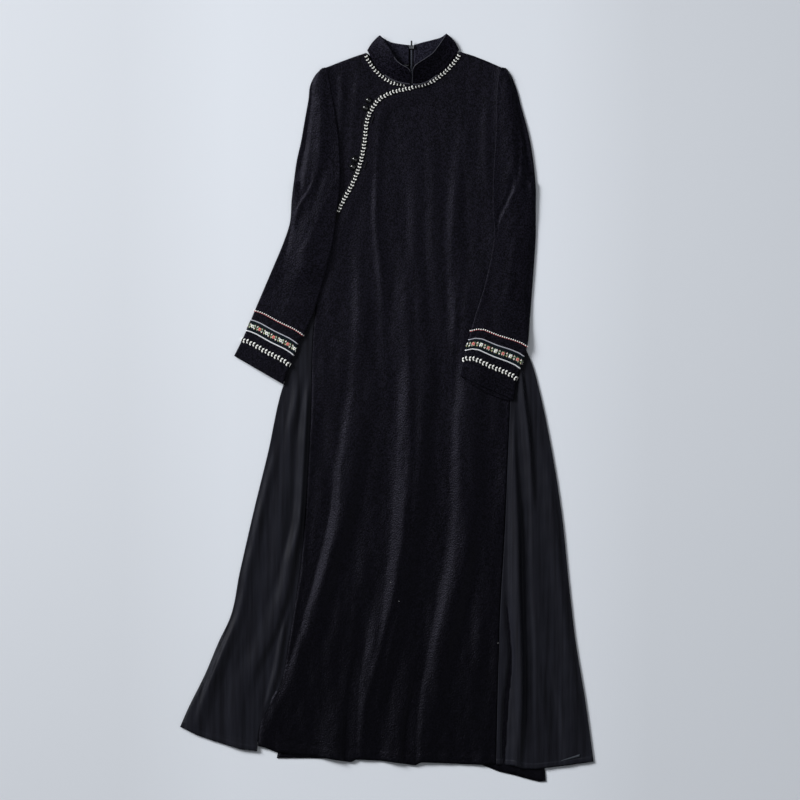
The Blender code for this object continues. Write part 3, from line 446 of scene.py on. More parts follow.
def reach_of(points):
    """The distance of each point along the line through them."""
    steps = np.linalg.norm(np.diff(points, axis=0), axis=1)
    return np.concatenate([[0.0], np.cumsum(steps)])


def along(points, count):
    """The given number of points, evenly spread on a smooth curve through the points."""
    points = np.array(points, float)
    reach = reach_of(points)
    rows = tuple(map(tuple, np.column_stack([reach, points])))
    at = np.linspace(0.0, reach[-1], count)
    return np.column_stack([smooth(rows, at, column) for column in range(1, len(rows[0]))])


def evenly(points, spacing):
    """Points at an even spacing on the straight lines between the points."""
    points = np.array(points, float)
    reach = reach_of(points)
    at = np.linspace(0, reach[-1], max(2, int(round(reach[-1] / spacing)) + 1))
    return np.column_stack([np.interp(at, reach, points[:, i]) for i in range(points.shape[1])])


def headings(path):
    heading = np.gradient(path, axis=0)
    return heading / np.linalg.norm(heading, axis=1)[:, None]


def beside(path, offset):
    """A flat path moved to its left by the offset."""
    heading = headings(path[:, :2])
    return path[:, :2] + offset * np.column_stack([-heading[:, 1], heading[:, 0]])


def ridge(fold, x, y):
    """The height that one lengthwise fold adds at each place."""
    top = max(row[0] for row in fold)
    crest = smooth(fold, y, 1)
    wide = np.where(x < crest, smooth(fold, y, 3), smooth(fold, y, 4))
    high = smooth(fold, y, 2)
    shape = 0.5 * (1 + np.cos(np.pi * np.minimum(1.0, np.abs(x - crest) / wide)))
    return np.where(y > top, 0.0, high * shape)


def roll(fold, x, y):
    """The height that one rolled fold adds at each place."""
    top = max(row[0] for row in fold)
    foot, high, rise, fall = (smooth(fold, y, column) for column in range(1, 5))
    up = np.clip((x - foot) / rise, 0, 1)
    down = np.clip((x - foot - rise) / fall, 0, 1)
    shape = (1 - (1 - up) ** 1.45) * 0.5 * (1 + np.cos(np.pi * down))
    return np.where(y > top, 0.0, high * shape)


def ripple(x, y, size_x, size_y, seed, count=7):
    """Gentle unevenness between about -1 and 1, the same on every run."""
    dice = np.random.default_rng(seed)
    total = 0.0
    for _ in range(count):
        turn, phase = dice.uniform(-0.6, 0.6), dice.uniform(0, 2 * math.pi)
        fx = dice.uniform(0.6, 1.5) * 2 * math.pi / size_x
        fy = dice.uniform(0.5, 1.5) * 2 * math.pi / size_y * dice.choice((-1, 1))
        total = total + np.sin(fx * (x + turn * size_x / size_y * y) + fy * y + phase)
    return total / math.sqrt(count)


def uneven(cloth, x, y, side=0):
    """The unevenness of a cloth, in millimetres; each side of the dress has its own."""
    return sum(high * ripple(x, y, wide, long, seed + side) for high, wide, long, seed in UNEVEN[cloth])


PLACKET_LINE, NECK_LINE = along(PLACKET, 60), along(NECK, 40)


def gap_to(line, x, y):
    """Distance from each place to a line's points."""
    x, y = np.broadcast_arrays(np.asarray(x, float), np.asarray(y, float))
    flat = np.column_stack([x.ravel(), y.ravel()])
    best = np.full(len(flat), 1e9)
    for px, py in line:
        best = np.minimum(best, (flat[:, 0] - px) ** 2 + (flat[:, 1] - py) ** 2)
    return np.sqrt(best).reshape(x.shape)


def beyond(line, x, y, clear, reach):
    """0 within the clear distance of a line, rising to 1 over the reach past it."""
    return ease((gap_to(line, x, y) - clear) / reach)


def segment_gap(line, x, y):
    """Distance from each place to the straight lines between a line's points."""
    best = np.full(x.shape, 1e9)
    for (ax, ay), (bx, by) in zip(line[:-1], line[1:]):
        dx, dy = bx - ax, by - ay
        t = np.clip(((x - ax) * dx + (y - ay) * dy) / (dx * dx + dy * dy + 1e-12), 0, 1)
        best = np.minimum(best, (x - ax - t * dx) ** 2 + (y - ay - t * dy) ** 2)
    return np.sqrt(best)


def placket_lift(x, y):
    """How much the front rises towards the placket, to clear the yoke's underlap."""
    full = OVERLAP_LEVEL - FRONT_LEVEL + RISE_SPARE
    return full * ease((RISE_REACH - gap_to(PLACKET_LINE, x, y)) / RISE_SLOPE)


def front_underside(x, y):
    """Height of the underside of the front over the surface the dress lies on."""
    folds = straight(FOLD_GAIN, y) * sum(ridge(fold, x, y) for fold in FOLDS.values())
    folds = folds + sum(ridge(fold, x, y) for fold in FINE_FOLDS.values())
    folds = folds + sum(roll(fold, x, y) for fold in ROLLS.values())
    deepest = -0.4
    return FRONT_LEVEL + np.maximum(folds, deepest) + placket_lift(x, y)


def body_edges(y):
    """x of the body's left and right edges, with the sheer panels below the waist."""
    left = np.where(y > UNDERARM_Y, straight(ARMHOLE_LEFT, y), straight(SIDE_LEFT, y))
    right = np.where(y > UNDERARM_Y, straight(ARMHOLE_RIGHT, y), straight(SIDE_RIGHT, y))
    left = np.where(y > WAIST_Y, left, straight(SHEER_LEFT_EDGE, y))
    return left, np.where(y > WAIST_Y, right, straight(SHEER_RIGHT_EDGE, y))


def support(x, y, spread=1.0):
    """Height of what a sleeve lies on: the body and its braid under it, then a slope
    down to the floor, which may be spread wider."""
    near_x, near_y = 7, 9
    braid_reach, braid_slope = 34, 12
    left, right = body_edges(y)
    outside = np.maximum(np.maximum(left - REST_REACH - x, x - right - REST_REACH), 0.0)
    top = 0.0
    for dx in (-near_x, 0, near_x):
        for dy in (-near_y, 0, near_y):
            top = np.maximum(top, front_underside(x + dx, y + dy))
    top = top + WOOL + SLEEVE_REST
    top += (TRIM + SEAM) * ease((braid_reach - gap_to(PLACKET_LINE, x, y)) / braid_slope)
    return top * (1 - ease(outside / (REST_SLOPE * spread)))


# ---------------------------------------------------------------- meshes

# How far a cut edge drops, and the width over which it is rounded off
EDGE_DROP, EDGE_ROUND = 0.5, 2.5


def new_object(name, data, look):
    item = bpy.data.objects.new(name, data)
    data.materials.append(look)
    bpy.context.scene.collection.objects.link(item)
    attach(item, "dress")
    return item


def stands(item, node=None):
    """Hides the solid that a piece is shown in place of, when one is given, and returns the piece."""
    if node:
        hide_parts(node)
    return item


def mesh_object(name, points, faces, look):
    data = bpy.data.meshes.new(name)
    data.from_pydata((np.asarray(points) * MM).tolist(), [], faces)
    data.validate()
    data.shade_smooth()
    return new_object(name, data, look)


def thicken(item, thick, offset):
    """Solidify: -1 puts the wall behind the sheet's face, 1 in front."""
    wall = item.modifiers.new("Wall", "SOLIDIFY")
    wall.thickness = thick * MM
    wall.offset = offset
    wall.use_even_offset = False
    return item


def grid_faces(rows, columns, flip=False, closed=False):
    faces = []
    for row in range(rows - 1):
        for column in range(columns if closed else columns - 1):
            a = row * columns + column
            b = row * columns + (column + 1) % columns
            quad = (a, b, b + columns, a + columns)
            faces.append(quad[::-1] if flip else quad)
    return faces


def grid_object(name, points, look, flip=False, closed=False):
    """points: rows, columns, xyz"""
    rows, columns = points.shape[:2]
    faces = grid_faces(rows, columns, flip, closed)
    return mesh_object(name, points.reshape(-1, 3), faces, look)


def cut_piece(name, node, outline, height, spacing=GRID):
    """A piece of wool cut to an outline: its points lie on a function's heights, and its
    edges are rounded off. It stands for the node."""
    edge = evenly(np.vstack([outline, outline[:1]]), spacing)[:-1]
    low, high = edge.min(axis=0), edge.max(axis=0)
    columns = np.arange(low[0], high[0], spacing)
    rows = np.arange(low[1], high[1], spacing * 0.87)
    x, y = np.meshgrid(columns, rows)
    x = x + (np.arange(len(rows)) % 2)[:, None] * spacing / 2
    inner = np.column_stack([x.ravel(), y.ravel()])
    loop = np.vstack([edge, edge[:1]])
    inside = np.zeros(len(inner), bool)
    for (ax, ay), (bx, by) in zip(loop[:-1], loop[1:]):
        crosses = (ay > inner[:, 1]) != (by > inner[:, 1])
        if ay != by:
            inside ^= crosses & (inner[:, 0] < (bx - ax) * (inner[:, 1] - ay) / (by - ay) + ax)
    inner = inner[inside]
    inner = inner[segment_gap(loop, inner[:, 0], inner[:, 1]) > spacing * 0.5]
    flat = np.vstack([edge, inner])
    ring = [(i, (i + 1) % len(edge)) for i in range(len(edge))]
    made = delaunay_2d_cdt([Vector(p) for p in flat.tolist()], ring, [], 1, 1e-7)
    spots = np.array([tuple(v) for v in made[0]])
    z = height(spots[:, 0], spots[:, 1])
    gap = segment_gap(loop, spots[:, 0], spots[:, 1])
    z = z - EDGE_DROP * (1 - ease(gap / EDGE_ROUND))
    points = np.column_stack([spots, z])
    item = thicken(mesh_object(name, points, made[2], WOOL_LOOK), CLOTH, -1)
    return stands(item, node)


def tube(path, radius, sides):
    """Points and faces of a round cord along a path, closed at both ends."""
    path = np.asarray(path, float)
    count = len(path)
    tangent = headings(path)
    side = np.cross(tangent, (0.0, 0.0, 1.0))
    side[np.linalg.norm(side, axis=1) < 1e-6] = (1.0, 0.0, 0.0)
    side /= np.linalg.norm(side, axis=1)[:, None]
    over = np.cross(side, tangent)
    turn = np.linspace(0, 2 * np.pi, sides, endpoint=False)
    ring = side[:, None] * np.cos(turn)[None, :, None] + over[:, None] * np.sin(turn)[None, :, None]
    points = path[:, None] + ring * radius
    faces = grid_faces(count, sides, closed=True)
    faces.append(tuple(range(sides))[::-1])
    faces.append(tuple((count - 1) * sides + i for i in range(sides)))
    return points.reshape(-1, 3), faces


def cord(name, path, radius, look, sides=8):
    points, faces = tube(path, radius, sides)
    return mesh_object(name, points, faces, look)


class Heap:
    """Many small shapes gathered into one mesh, each in its own look."""

    def __init__(self):
        self.points, self.faces, self.kinds, self.looks, self.count = [], [], [], [], 0

    def put(self, points, faces, look):
        if look not in self.looks:
            self.looks.append(look)
        self.points.append(points)
        self.faces += [tuple(i + self.count for i in face) for face in faces]
        self.kinds += [self.looks.index(look)] * len(faces)
        self.count += len(points)

    def made(self, name):
        item = mesh_object(name, np.vstack(self.points), self.faces, self.looks[0])
        for look in self.looks[1:]:
            item.data.materials.append(look)
        item.data.polygons.foreach_set("material_index", self.kinds)
        item.data.update()
        return item


def petal(length, width, high, sides=10):
    """A leaf lying on a surface, pointed at both ends: its points and faces, with its
    length along the first axis, starting from zero."""
    t = np.linspace(0, 1, sides // 2 + 2)
    half = width / 2 * np.sin(np.pi * t) ** 0.8
    upper = np.column_stack([t * length, half, np.zeros_like(t)])
    lower = upper[1:-1][::-1] * (1, -1, 1)
    rim = np.vstack([upper, lower])
    count = len(rim)
    crown = rim * (0.72, 0.55, 1) + (0.14 * length, 0, high * 0.85)
    top = np.array([[length * 0.5, 0, high]])
    base = rim.copy()
    base[:, 2] = 0
    rim = rim + (0, 0, high * 0.35)
    points = np.vstack([base, rim, crown, top])
    faces = []
    for i in range(count):
        j = (i + 1) % count
        faces.append((j, i, count + i, count + j))
        faces.append((count + j, count + i, 2 * count + i, 2 * count + j))
        faces.append((2 * count + j, 2 * count + i, 3 * count))
    faces.append(tuple(range(count)))
    return points, faces


def ball(radius, high, around=8, rings=4):
    """A low dome lying on a surface."""
    points, faces = [], []
    for ring in range(rings):
        turn = ring / rings * math.pi / 2
        for step in range(around):
            a = 2 * math.pi * step / around
            points.append((
                radius * math.cos(turn) * math.cos(a), radius * math.cos(turn) * math.sin(a),
                high * math.sin(turn),
            ))
    points.append((0, 0, high))
    for ring in range(rings - 1):
        for step in range(around):
            a, b = ring * around + step, ring * around + (step + 1) % around
            faces.append((a, b, b + around, a + around))
    last = (rings - 1) * around
    for step in range(around):
        faces.append((last + step, last + (step + 1) % around, rings * around))
    faces.append(tuple(range(around))[::-1])
    return np.array(points), faces


def set_at(points, place, forward, up, turn=0.0, size=1.0):
    """Turns a shape's axes onto a direction and an up direction, and moves it to a place."""
    forward = forward / np.linalg.norm(forward)
    up = up - forward * float(up @ forward)
    up /= np.linalg.norm(up)
    side = np.cross(up, forward)
    c, s = math.cos(turn), math.sin(turn)
    first, second = c * forward + s * side, -s * forward + c * side
    return place + size * (
        points[:, :1] * first + points[:, 1:2] * second + points[:, 2:3] * up
    )


# ---------------------------------------------------------------- materials

def material(name, colour, roughness, **settings):
    made = bpy.data.materials.new(name)
    made.use_nodes = True
    shader = made.node_tree.nodes["Principled BSDF"]
    shader.inputs["Base Color"].default_value = (*colour, 1.0)
    shader.inputs["Roughness"].default_value = roughness
    for key, value in settings.items():
        shader.inputs[key.replace("_", " ")].default_value = value
    return made, made.node_tree, shader


def places(tree, scale=(1, 1, 1)):
    """The object's own coordinates, scaled."""
    coordinates = tree.nodes.new("ShaderNodeTexCoord")
    mapping = tree.nodes.new("ShaderNodeMapping")
    mapping.inputs["Scale"].default_value = scale
    tree.links.new(coordinates.outputs["Object"], mapping.inputs["Vector"])
    return mapping


def noise(tree, mapping, scale, detail=3.0, rough=0.6):
    made = tree.nodes.new("ShaderNodeTexNoise")
    made.inputs["Scale"].default_value = scale
    made.inputs["Detail"].default_value = detail
    made.inputs["Roughness"].default_value = rough
    tree.links.new(mapping.outputs[0], made.inputs["Vector"])
    return made


def ramp(tree, source, output, stops):
    made = tree.nodes.new("ShaderNodeValToRGB")
    bar = made.color_ramp
    while len(bar.elements) < len(stops):
        bar.elements.new(0.5)
    for element, (place, colour) in zip(bar.elements, stops):
        element.position = place
        element.color = (*colour, 1.0)
    tree.links.new(source.outputs[output], made.inputs["Fac"])
    return made


def bump(tree, shader, source, output, strength, distance, after=None):
    made = tree.nodes.new("ShaderNodeBump")
    made.inputs["Strength"].default_value = strength
    made.inputs["Distance"].default_value = distance * MM
    tree.links.new(source.outputs[output], made.inputs["Height"])
    if after:
        tree.links.new(after.outputs["Normal"], made.inputs["Normal"])
    tree.links.new(made.outputs["Normal"], shader.inputs["Normal"])
    return made


# Painted light on the wool: its colour is scaled darker towards the hem and lighter towards
# the waist, as the light falls; the places along the dress between which it changes, and its scale at each
LIGHT_FALLOFF_FROM, LIGHT_FALLOFF_TO = -500 * MM, 200 * MM
LIGHT_FALLOFF_LOW, LIGHT_FALLOFF_HIGH = 0.5, 1.5


def painted_light_falloff(tree, colour):
    """Painted light: a colour scaled darker towards the hem and lighter towards the top of the dress."""
    split = tree.nodes.new("ShaderNodeSeparateXYZ")
    tree.links.new(places(tree).outputs[0], split.inputs[0])
    level = tree.nodes.new("ShaderNodeMapRange")
    for socket, value in zip(level.inputs[1:5], (LIGHT_FALLOFF_FROM, LIGHT_FALLOFF_TO, LIGHT_FALLOFF_LOW, LIGHT_FALLOFF_HIGH)):
        socket.default_value = value
    tree.links.new(split.outputs["Y"], level.inputs["Value"])
    made = tree.nodes.new("ShaderNodeVectorMath")
    made.operation = "SCALE"
    tree.links.new(colour, made.inputs[0])
    tree.links.new(level.outputs["Result"], made.inputs["Scale"])
    return made.outputs[0]


def wool_look(name, dark, light, gloss):
    """Napped wool crepe: mottled near black, with a fine pebbled weave and a soft bloom."""
    made, tree, shader = material(
        name, dark, 0.45, Specular_IOR_Level=gloss, Specular_Tint=(0.78, 0.76, 1.0, 1.0),
        Sheen_Weight=0.014, Sheen_Roughness=0.5, Sheen_Tint=(0.60, 0.62, 0.85, 1.0),
    )
    at = places(tree)
    cloud = noise(tree, at, 350, 2.0, 0.6)
    tint = ramp(tree, cloud, "Fac", ((0.44, dark), (0.57, light)))
    # The base colour carries painted light: darker towards the hem, lighter towards the waist
    tree.links.new(painted_light_falloff(tree, tint.outputs["Color"]), shader.inputs["Base Color"])
    pebble = noise(tree, at, 1100, 2.0, 0.55)
    weave = bump(tree, shader, pebble, "Fac", 0.5, 0.3)
    nap = noise(tree, places(tree, (1, 0.9, 1)), 420, 1.0, 0.5)
    bump(tree, shader, nap, "Fac", 0.8, 1.05, weave)
    return made


def organza_look(name="organza", alpha=0.82):
    """See-through organza: fine threads, and silk's soft lengthwise gleam, painted into its colour as long
    streaks.
    """
    made, tree, shader = material(
        name, (0.006, 0.0064, 0.009), 0.46, Specular_IOR_Level=0.07, Sheen_Weight=0.05,
        Sheen_Roughness=0.3, Sheen_Tint=(0.55, 0.66, 0.90, 1.0), Alpha=alpha,
    )
    # Painted gleam: long lengthwise streaks of lighter colour
    painted_gleam = noise(tree, places(tree, (1, 0.035, 1)), 170, 3.0, 0.5)
    tint = ramp(tree, painted_gleam, "Fac", ((0.3, (0.0088, 0.0088, 0.0122)), (0.7, (0.0165, 0.0172, 0.0240))))
    tree.links.new(tint.outputs["Color"], shader.inputs["Base Color"])
    threads = noise(tree, places(tree, (1, 0.12, 1)), 1500, 2.0, 0.5)
    bump(tree, shader, threads, "Fac", 0.35, 0.12)
    return made


def thread_look(name, dark, light, roughness=0.6, sheen=0.3, stretch=(1, 1, 1), scale=1800,
                strength=0.6, deep=0.15, gloss=0.35):
    """Yarn or stitching in a colour that varies between two."""
    made, tree, shader = material(
        name, light, roughness, Sheen_Weight=sheen, Sheen_Roughness=0.4, Specular_IOR_Level=gloss,
    )
    grain = noise(tree, places(tree, stretch), scale, 3.0, 0.6)
    tint = ramp(tree, grain, "Fac", ((0.35, dark), (0.6, light)))
    tree.links.new(tint.outputs["Color"], shader.inputs["Base Color"])
    bump(tree, shader, grain, "Fac", strength, deep)
    return made


def gloss_look(name, colour, roughness, scratch=900, deep=0.02, **settings):
    """A smooth hard surface with faint marks."""
    made, tree, shader = material(name, colour, roughness, **settings)
    marks = noise(tree, places(tree), scratch, 3.0, 0.6)
    grey = ramp(tree, marks, "Fac", ((0.3, (roughness * 0.7,) * 3), (0.7, (roughness * 1.4,) * 3)))
    tree.links.new(grey.outputs["Color"], shader.inputs["Roughness"])
    bump(tree, shader, marks, "Fac", 0.3, deep)
    return made


WOOL_DARK, WOOL_LIGHT = (0.0, 0.0, 0.0001), (0.0040, 0.0036, 0.0065)
WOOL_LOOK = wool_look("wool_crepe", WOOL_DARK, WOOL_LIGHT, 0.125)
SLEEVE_LOOK = wool_look("wool_crepe_sleeves", WOOL_DARK, WOOL_LIGHT, 0.095)
COLLAR_LOOK = wool_look("wool_collar", (0.0002, 0.0002, 0.0005), (0.0060, 0.0054, 0.0094), 0.05)
# The back collar's wool painted lighter: painted light that makes up for the shade the stands cast on it
FACING_PAINTED_LIGHT_LOOK = wool_look("wool_facing_painted_light", (0.0030, 0.0030, 0.0050), (0.0125, 0.0122, 0.0200), 0.08)
ORGANZA_LOOK = organza_look()
ORGANZA_HEM_LOOK = organza_look("organza_hem", 0.86)
# A turned hem's sliver, coloured much lighter than the organza: a painted highlight
TURN_HIGHLIGHT_LOOK = thread_look("organza_turn_painted_highlight", (0.030, 0.034, 0.042), (0.055, 0.062, 0.074), sheen=0.05, gloss=0.1)
BRAID_LOOK = thread_look("braid_ground", (0.001, 0.001, 0.0015), (0.005, 0.005, 0.007), sheen=0.02,
                         gloss=0.08)
LEAF_LOOK = thread_look("leaf_stitch", (0.66, 0.65, 0.60), (0.95, 0.95, 0.92), 0.55, 0.25)
PIPING_LOOK = thread_look("satin_piping", (0.02, 0.02, 0.028), (0.06, 0.06, 0.078), 0.42, 0.1, gloss=0.25)
RIBBON_LOOK = thread_look("ribbon_ground", (0.001, 0.003, 0.0045), (0.004, 0.009, 0.013), sheen=0.02,
                          gloss=0.08)
LINE_LOOKS = {
    "upper": thread_look("ribbon_edge_grey", (0.26, 0.26, 0.30), (0.50, 0.50, 0.56)),
    "lower": thread_look("ribbon_edge_white", (0.52, 0.52, 0.55), (0.80, 0.80, 0.83)),
}
WHITE_LOOK = thread_look("white_thread", (0.72, 0.72, 0.68), (0.95, 0.95, 0.92))
RED_LOOK = thread_look("red_thread", (0.30, 0.012, 0.02), (0.55, 0.035, 0.045))
PINK_LOOK = thread_look("pink_thread", (0.55, 0.13, 0.12), (0.80, 0.32, 0.28))
GREEN_LOOK = thread_look("green_thread", (0.06, 0.15, 0.06), (0.18, 0.32, 0.14))
SAGE_LOOK = thread_look("sage_thread", (0.28, 0.38, 0.24), (0.55, 0.62, 0.48))
OLIVE_LOOK = thread_look("olive_thread", (0.17, 0.17, 0.04), (0.36, 0.35, 0.12))
CORD_LOOK = thread_look("frog_cord", (0.0005, 0.0005, 0.001), (0.003, 0.003, 0.004), 0.5, 0.02, gloss=0.1)
EDGE_LOOK = thread_look("placket_satin", (0.002, 0.002, 0.003), (0.008, 0.008, 0.012), 0.42, 0.02, gloss=0.1)
BEAD_LOOK = gloss_look("black_bead", (0.003, 0.003, 0.004), 0.10, Coat_Weight=0.6,
                       Coat_Roughness=0.06)
TAPE_LOOK = thread_look("zip_tape", (0.001, 0.001, 0.002), (0.004, 0.004, 0.006), sheen=0.02, gloss=0.05)
COIL_LOOK = thread_look("zip_coil", (0.045, 0.05, 0.065), (0.10, 0.11, 0.14), 0.5, 0.05, gloss=0.1)
METAL_LOOK = gloss_look("zip_metal", (0.16, 0.165, 0.18), 0.4, Metallic=0.9)
DARK_METAL_LOOK = gloss_look("dark_metal", (0.01, 0.01, 0.012), 0.4, Metallic=0.5)
LINT_LOOK = thread_look("lint", (0.3, 0.3, 0.3), (0.5, 0.5, 0.5))


# ---------------------------------------------------------------- body

def hem_relief(hem, x, y):
    """A turned-up hem: a little thicker up to its stitching, which pulls the cloth in."""
    above = y - straight(hem, x) - HEM_DEPTH
    raised = HEM_RAISE * (1 - ease((above + 1.0) / 2.0))
    return raised - HEM_RAISE * np.exp(-((above / HEM_STITCH) ** 2))


# The waist darts, left and right, as x and y
DARTS = (
    ((-29, 472), (-28, 352), (-24, 300), (-17, 231)),
    ((136, 490), (133, 400), (129, 300), (126, 206), (125, 130)),
)


# A dart's groove and the pucker beside it, as height and width
DART_GROOVE, DART_PUCKER = (0.7, 1.8), (0.25, 7)


def dart_relief(x, y):
    """The waist darts: a fine groove, puckered a little along its length."""
    total = 0.0
    for line in DARTS:
        gap = gap_to(along(line, 40), x, y)
        groove, pucker = (high * np.exp(-((gap / wide) ** 2)) for high, wide in (DART_GROOVE, DART_PUCKER))
        total = total - groove + pucker
    return total


# The middle and the width of the left seam's roll, from the front's edge
SEAM_ROLL_AT, SEAM_ROLL_WIDTH = 4.5, 4.0
# The front's cloth lies calmer from here up
CALM_Y = 500


def front_relief(x, y):
    """Unevenness of the front's cloth over its folds."""
    calm = 0.5 + 0.5 * ease((CALM_Y - y) / CALM_Y)
    from_roll = x - straight(SIDE_LEFT, y) - SEAM_ROLL_AT
    seam = straight(SEAM_ROLL, y) * np.exp(-((from_roll / SEAM_ROLL_WIDTH) ** 2))
    return uneven("front", x, y) * calm + uneven("front_fine", x, y) + dart_relief(x, y) + seam


def head_rise(x, y):
    """The body's cloth lifts towards the armholes, where the sleeve heads are set in."""
    gap = np.minimum(x - straight(ARMHOLE_LEFT, y), straight(ARMHOLE_RIGHT, y) - x)
    low, reach = 470, 110
    return HEAD_RISE * ease((y - low) / reach) * (1 - ease(gap / HEAD_RISE_REACH))


def front_top_level(x, y):
    """Height of the front's upper face: the unevenness dies away beside the neck and the braid."""
    z = front_underside(x, y) + WOOL + head_rise(x, y)
    free = beyond(NECK_LINE, x, y, 12, 20), beyond(PLACKET_LINE, x, y, 14, 16)
    z = z + front_relief(x, y) * free[0] * free[1]
    return z + hem_relief(HEM_FRONT, x, y)


def front_outline():
    """The front's edge: up its left seam and the placket, round the neck, and down the right."""
    left = [(float(smooth(SIDE_LEFT, y)), y) for y in np.arange(-641, 292, 6.0)]
    placket = along(PLACKET[::-1], 110)
    placket = placket[placket[:, 1] > 290]
    placket = placket[placket[:, 0] < CENTRE_X - 1]
    neck = along(NECK[NECK_CENTRE:], 40)
    shoulder = np.vstack([NECK[-1], SHOULDER_RIGHT, (221, SHOULDER_Y)])
    armhole = along([(x, y) for y, x in ARMHOLE_RIGHT[::-1]], 60)
    right = [(float(smooth(SIDE_RIGHT, y)), y) for y in np.arange(422, -674, -6.0)]
    hem = np.array(sorted(HEM_FRONT)[::-1], float)
    parts = [left, placket, neck[1:], shoulder[1:-1], armhole, right, hem[:-1]]
    return np.vstack([np.array(part, float) for part in parts])


def make_front():
    return cut_piece("front", "front_main", front_outline(), front_top_level)


def yoke_level(x, y):
    """Height of the yoke's upper face: its folds die away beside the placket and the neck."""
    z = YOKE_LEVEL + WOOL + head_rise(x, y)
    free = beyond(PLACKET_LINE, x, y, 0, 40) * beyond(NECK_LINE, x, y, 0, 30)
    z = z + sum(ridge(fold, x, y) for fold in YOKE_FOLDS.values()) * free
    return z + uneven("yoke", x, y) * free + uneven("yoke_fine", x, y)


def make_yoke():
    """The yoke, whose underlap runs on past the placket."""
    neck = along(NECK[: NECK_CENTRE + 1], 30)
    inner = beside(along(PLACKET, 60), UNDERLAP)
    armhole = along([(x, y) for y, x in ARMHOLE_LEFT[::-1]], 60)
    side = [(float(straight(SIDE_LEFT, y)), y) for y in np.arange(422, 296, -6.0)]
    shoulder = np.array(SHOULDER_LEFT, float)
    under = inner[::-1]
    under = under[under[:, 0] > straight(SIDE_LEFT, under[:, 1]) + 2]
    outline = np.vstack([neck[::-1], shoulder, armhole, side, under])
    return cut_piece("yoke", "front_yoke", outline, yoke_level)


def back_level(x, y):
    """Height of the back's upper face, which dips a little along the zip."""
    zip_dip, dip_width, hem_share = 0.3, 3, 0.6
    z = WOOL + uneven("back", x, y) - zip_dip * np.exp(-(((x - CENTRE_X) / dip_width) ** 2))
    return z + hem_relief(HEM_BACK, x, y) * hem_share


def make_back(name, side, waist_up, armhole, shoulder, sign):
    """One half of the back, whose centre edge stands clear of the zip down to its end."""
    zip_half = ZIP_WIDTH / 2 + SEAM
    low = side[0][0]
    edge = [(float(smooth(side, y)), y) for y in np.arange(low, WAIST_Y, 8.0)]
    edge += [(float(straight(waist_up, y)), y) for y in np.arange(WAIST_Y + 14, 425, 8.0)]
    hole = along([(x, y) for y, x in armhole], 60)
    neck = [p for p in BACK_NECK if (p[0] - CENTRE_X) * sign > zip_half][::-sign]
    neck = along(neck, 24)
    centre = [
        (CENTRE_X + sign * zip_half, BACK_NECK[4][1]), (CENTRE_X + sign * zip_half, ZIP_END - 4),
        (CENTRE_X + sign * SEAM / 2, ZIP_END - 8),
        (CENTRE_X + sign * SEAM / 2, float(straight(HEM_BACK, CENTRE_X))),
    ]
    hem = [p for p in HEM_BACK if (p[0] - CENTRE_X) * sign > SEAM]
    hem = hem[1:][::-1] if sign < 0 else hem[:-1]
    outline = np.vstack([edge, hole, shoulder[::-1], neck, centre, hem])
    return cut_piece("rear_" + name, "back_" + name, outline, back_level, BACK_GRID)


# ---------------------------------------------------------------- sleeves

# The last rows of the sleeve heads, rounded off to the shoulder seams
HEADS = {
    -1: ((586, -131, 639, -113, 641), (597, -121, 646.5, -117, 648)),
    1: ((606, 231.5, 640, 214.5, 641), (614, 225, 646.5, 219, 648)),
}

# How far the cloth and trims near the cuff sway up the sleeve, by the share of its width
SWAY = {
    -1: ((0, 0), (0.08, 1.8), (0.2, 2.8), (0.5, 1.8), (0.8, 2.8), (0.93, 1.6), (1, 0)),
    1: ((0, 0), (0.1, 3.4), (0.25, 5.1), (0.5, 5.6), (0.66, 7.4), (0.78, 8.9), (0.9, 6.4), (1, 0)),
}

# Creases of each sleeve's upper layer: a line, its height, and its widths to the left and
# right, with a gain on all their heights
CREASE_GAIN = 1.15
CREASES = {
    -1: (
        (((-151, 540), (-154, 500), (-159, 465), (-165, 425)), -1.5, 12, 8),
        (((-139, 432), (-148, 413), (-161, 394), (-177, 360)), 1.4, 4.5, 12),
        (((-125, 575), (-124, 520), (-126, 455)), 1.0, 20, 18),
        (((-124, 447), (-131, 415), (-141, 380)), -1.2, 9, 14),
    ),
    1: (
        (((236, 620), (242, 550), (243, 480), (242, 445)), 1.2, 34, 8),
        (((240, 430), (229, 396), (212, 362), (206, 330)), -1.5, 8, 7),
        (((258, 501), (255, 457), (251, 427), (232, 396)), 0.9, 6, 14),
        (((262, 560), (266, 500), (266, 430)), -1.6, 10, 14),
    ),
}


def crease_relief(creases, x, y):
    total = 0.0
    for line, high, left, right in creases:
        path = along(line, 40)
        rows = tuple(map(tuple, path[:, ::-1]))
        at = smooth(rows, y)
        low, top = path[:, 1].min(), path[:, 1].max()
        wide = np.where(x < at, left, right)
        shape = 0.5 * (1 + np.cos(np.pi * np.minimum(1, np.abs(x - at) / wide)))
        fade = ease((y - low + 25) / 25) * ease((top + 25 - y) / 25)
        total = total + high * shape * fade
    return total


# Columns of points round a sleeve: along its lower layer to the inner fold, round each fold,
# over the top, and under again to the seam
A_RUN, TURN, TOP_RUN, B_RUN = 16, 7, 46, 12
# How much wider the upper layer's slope off the body is than the lower layer's
UPPER_SPREAD = 1.4


def side_of(rows):
    """-1 for the left sleeve or collar half, 1 for the right one."""
    return -1 if rows[0][1] < CENTRE_X else 1


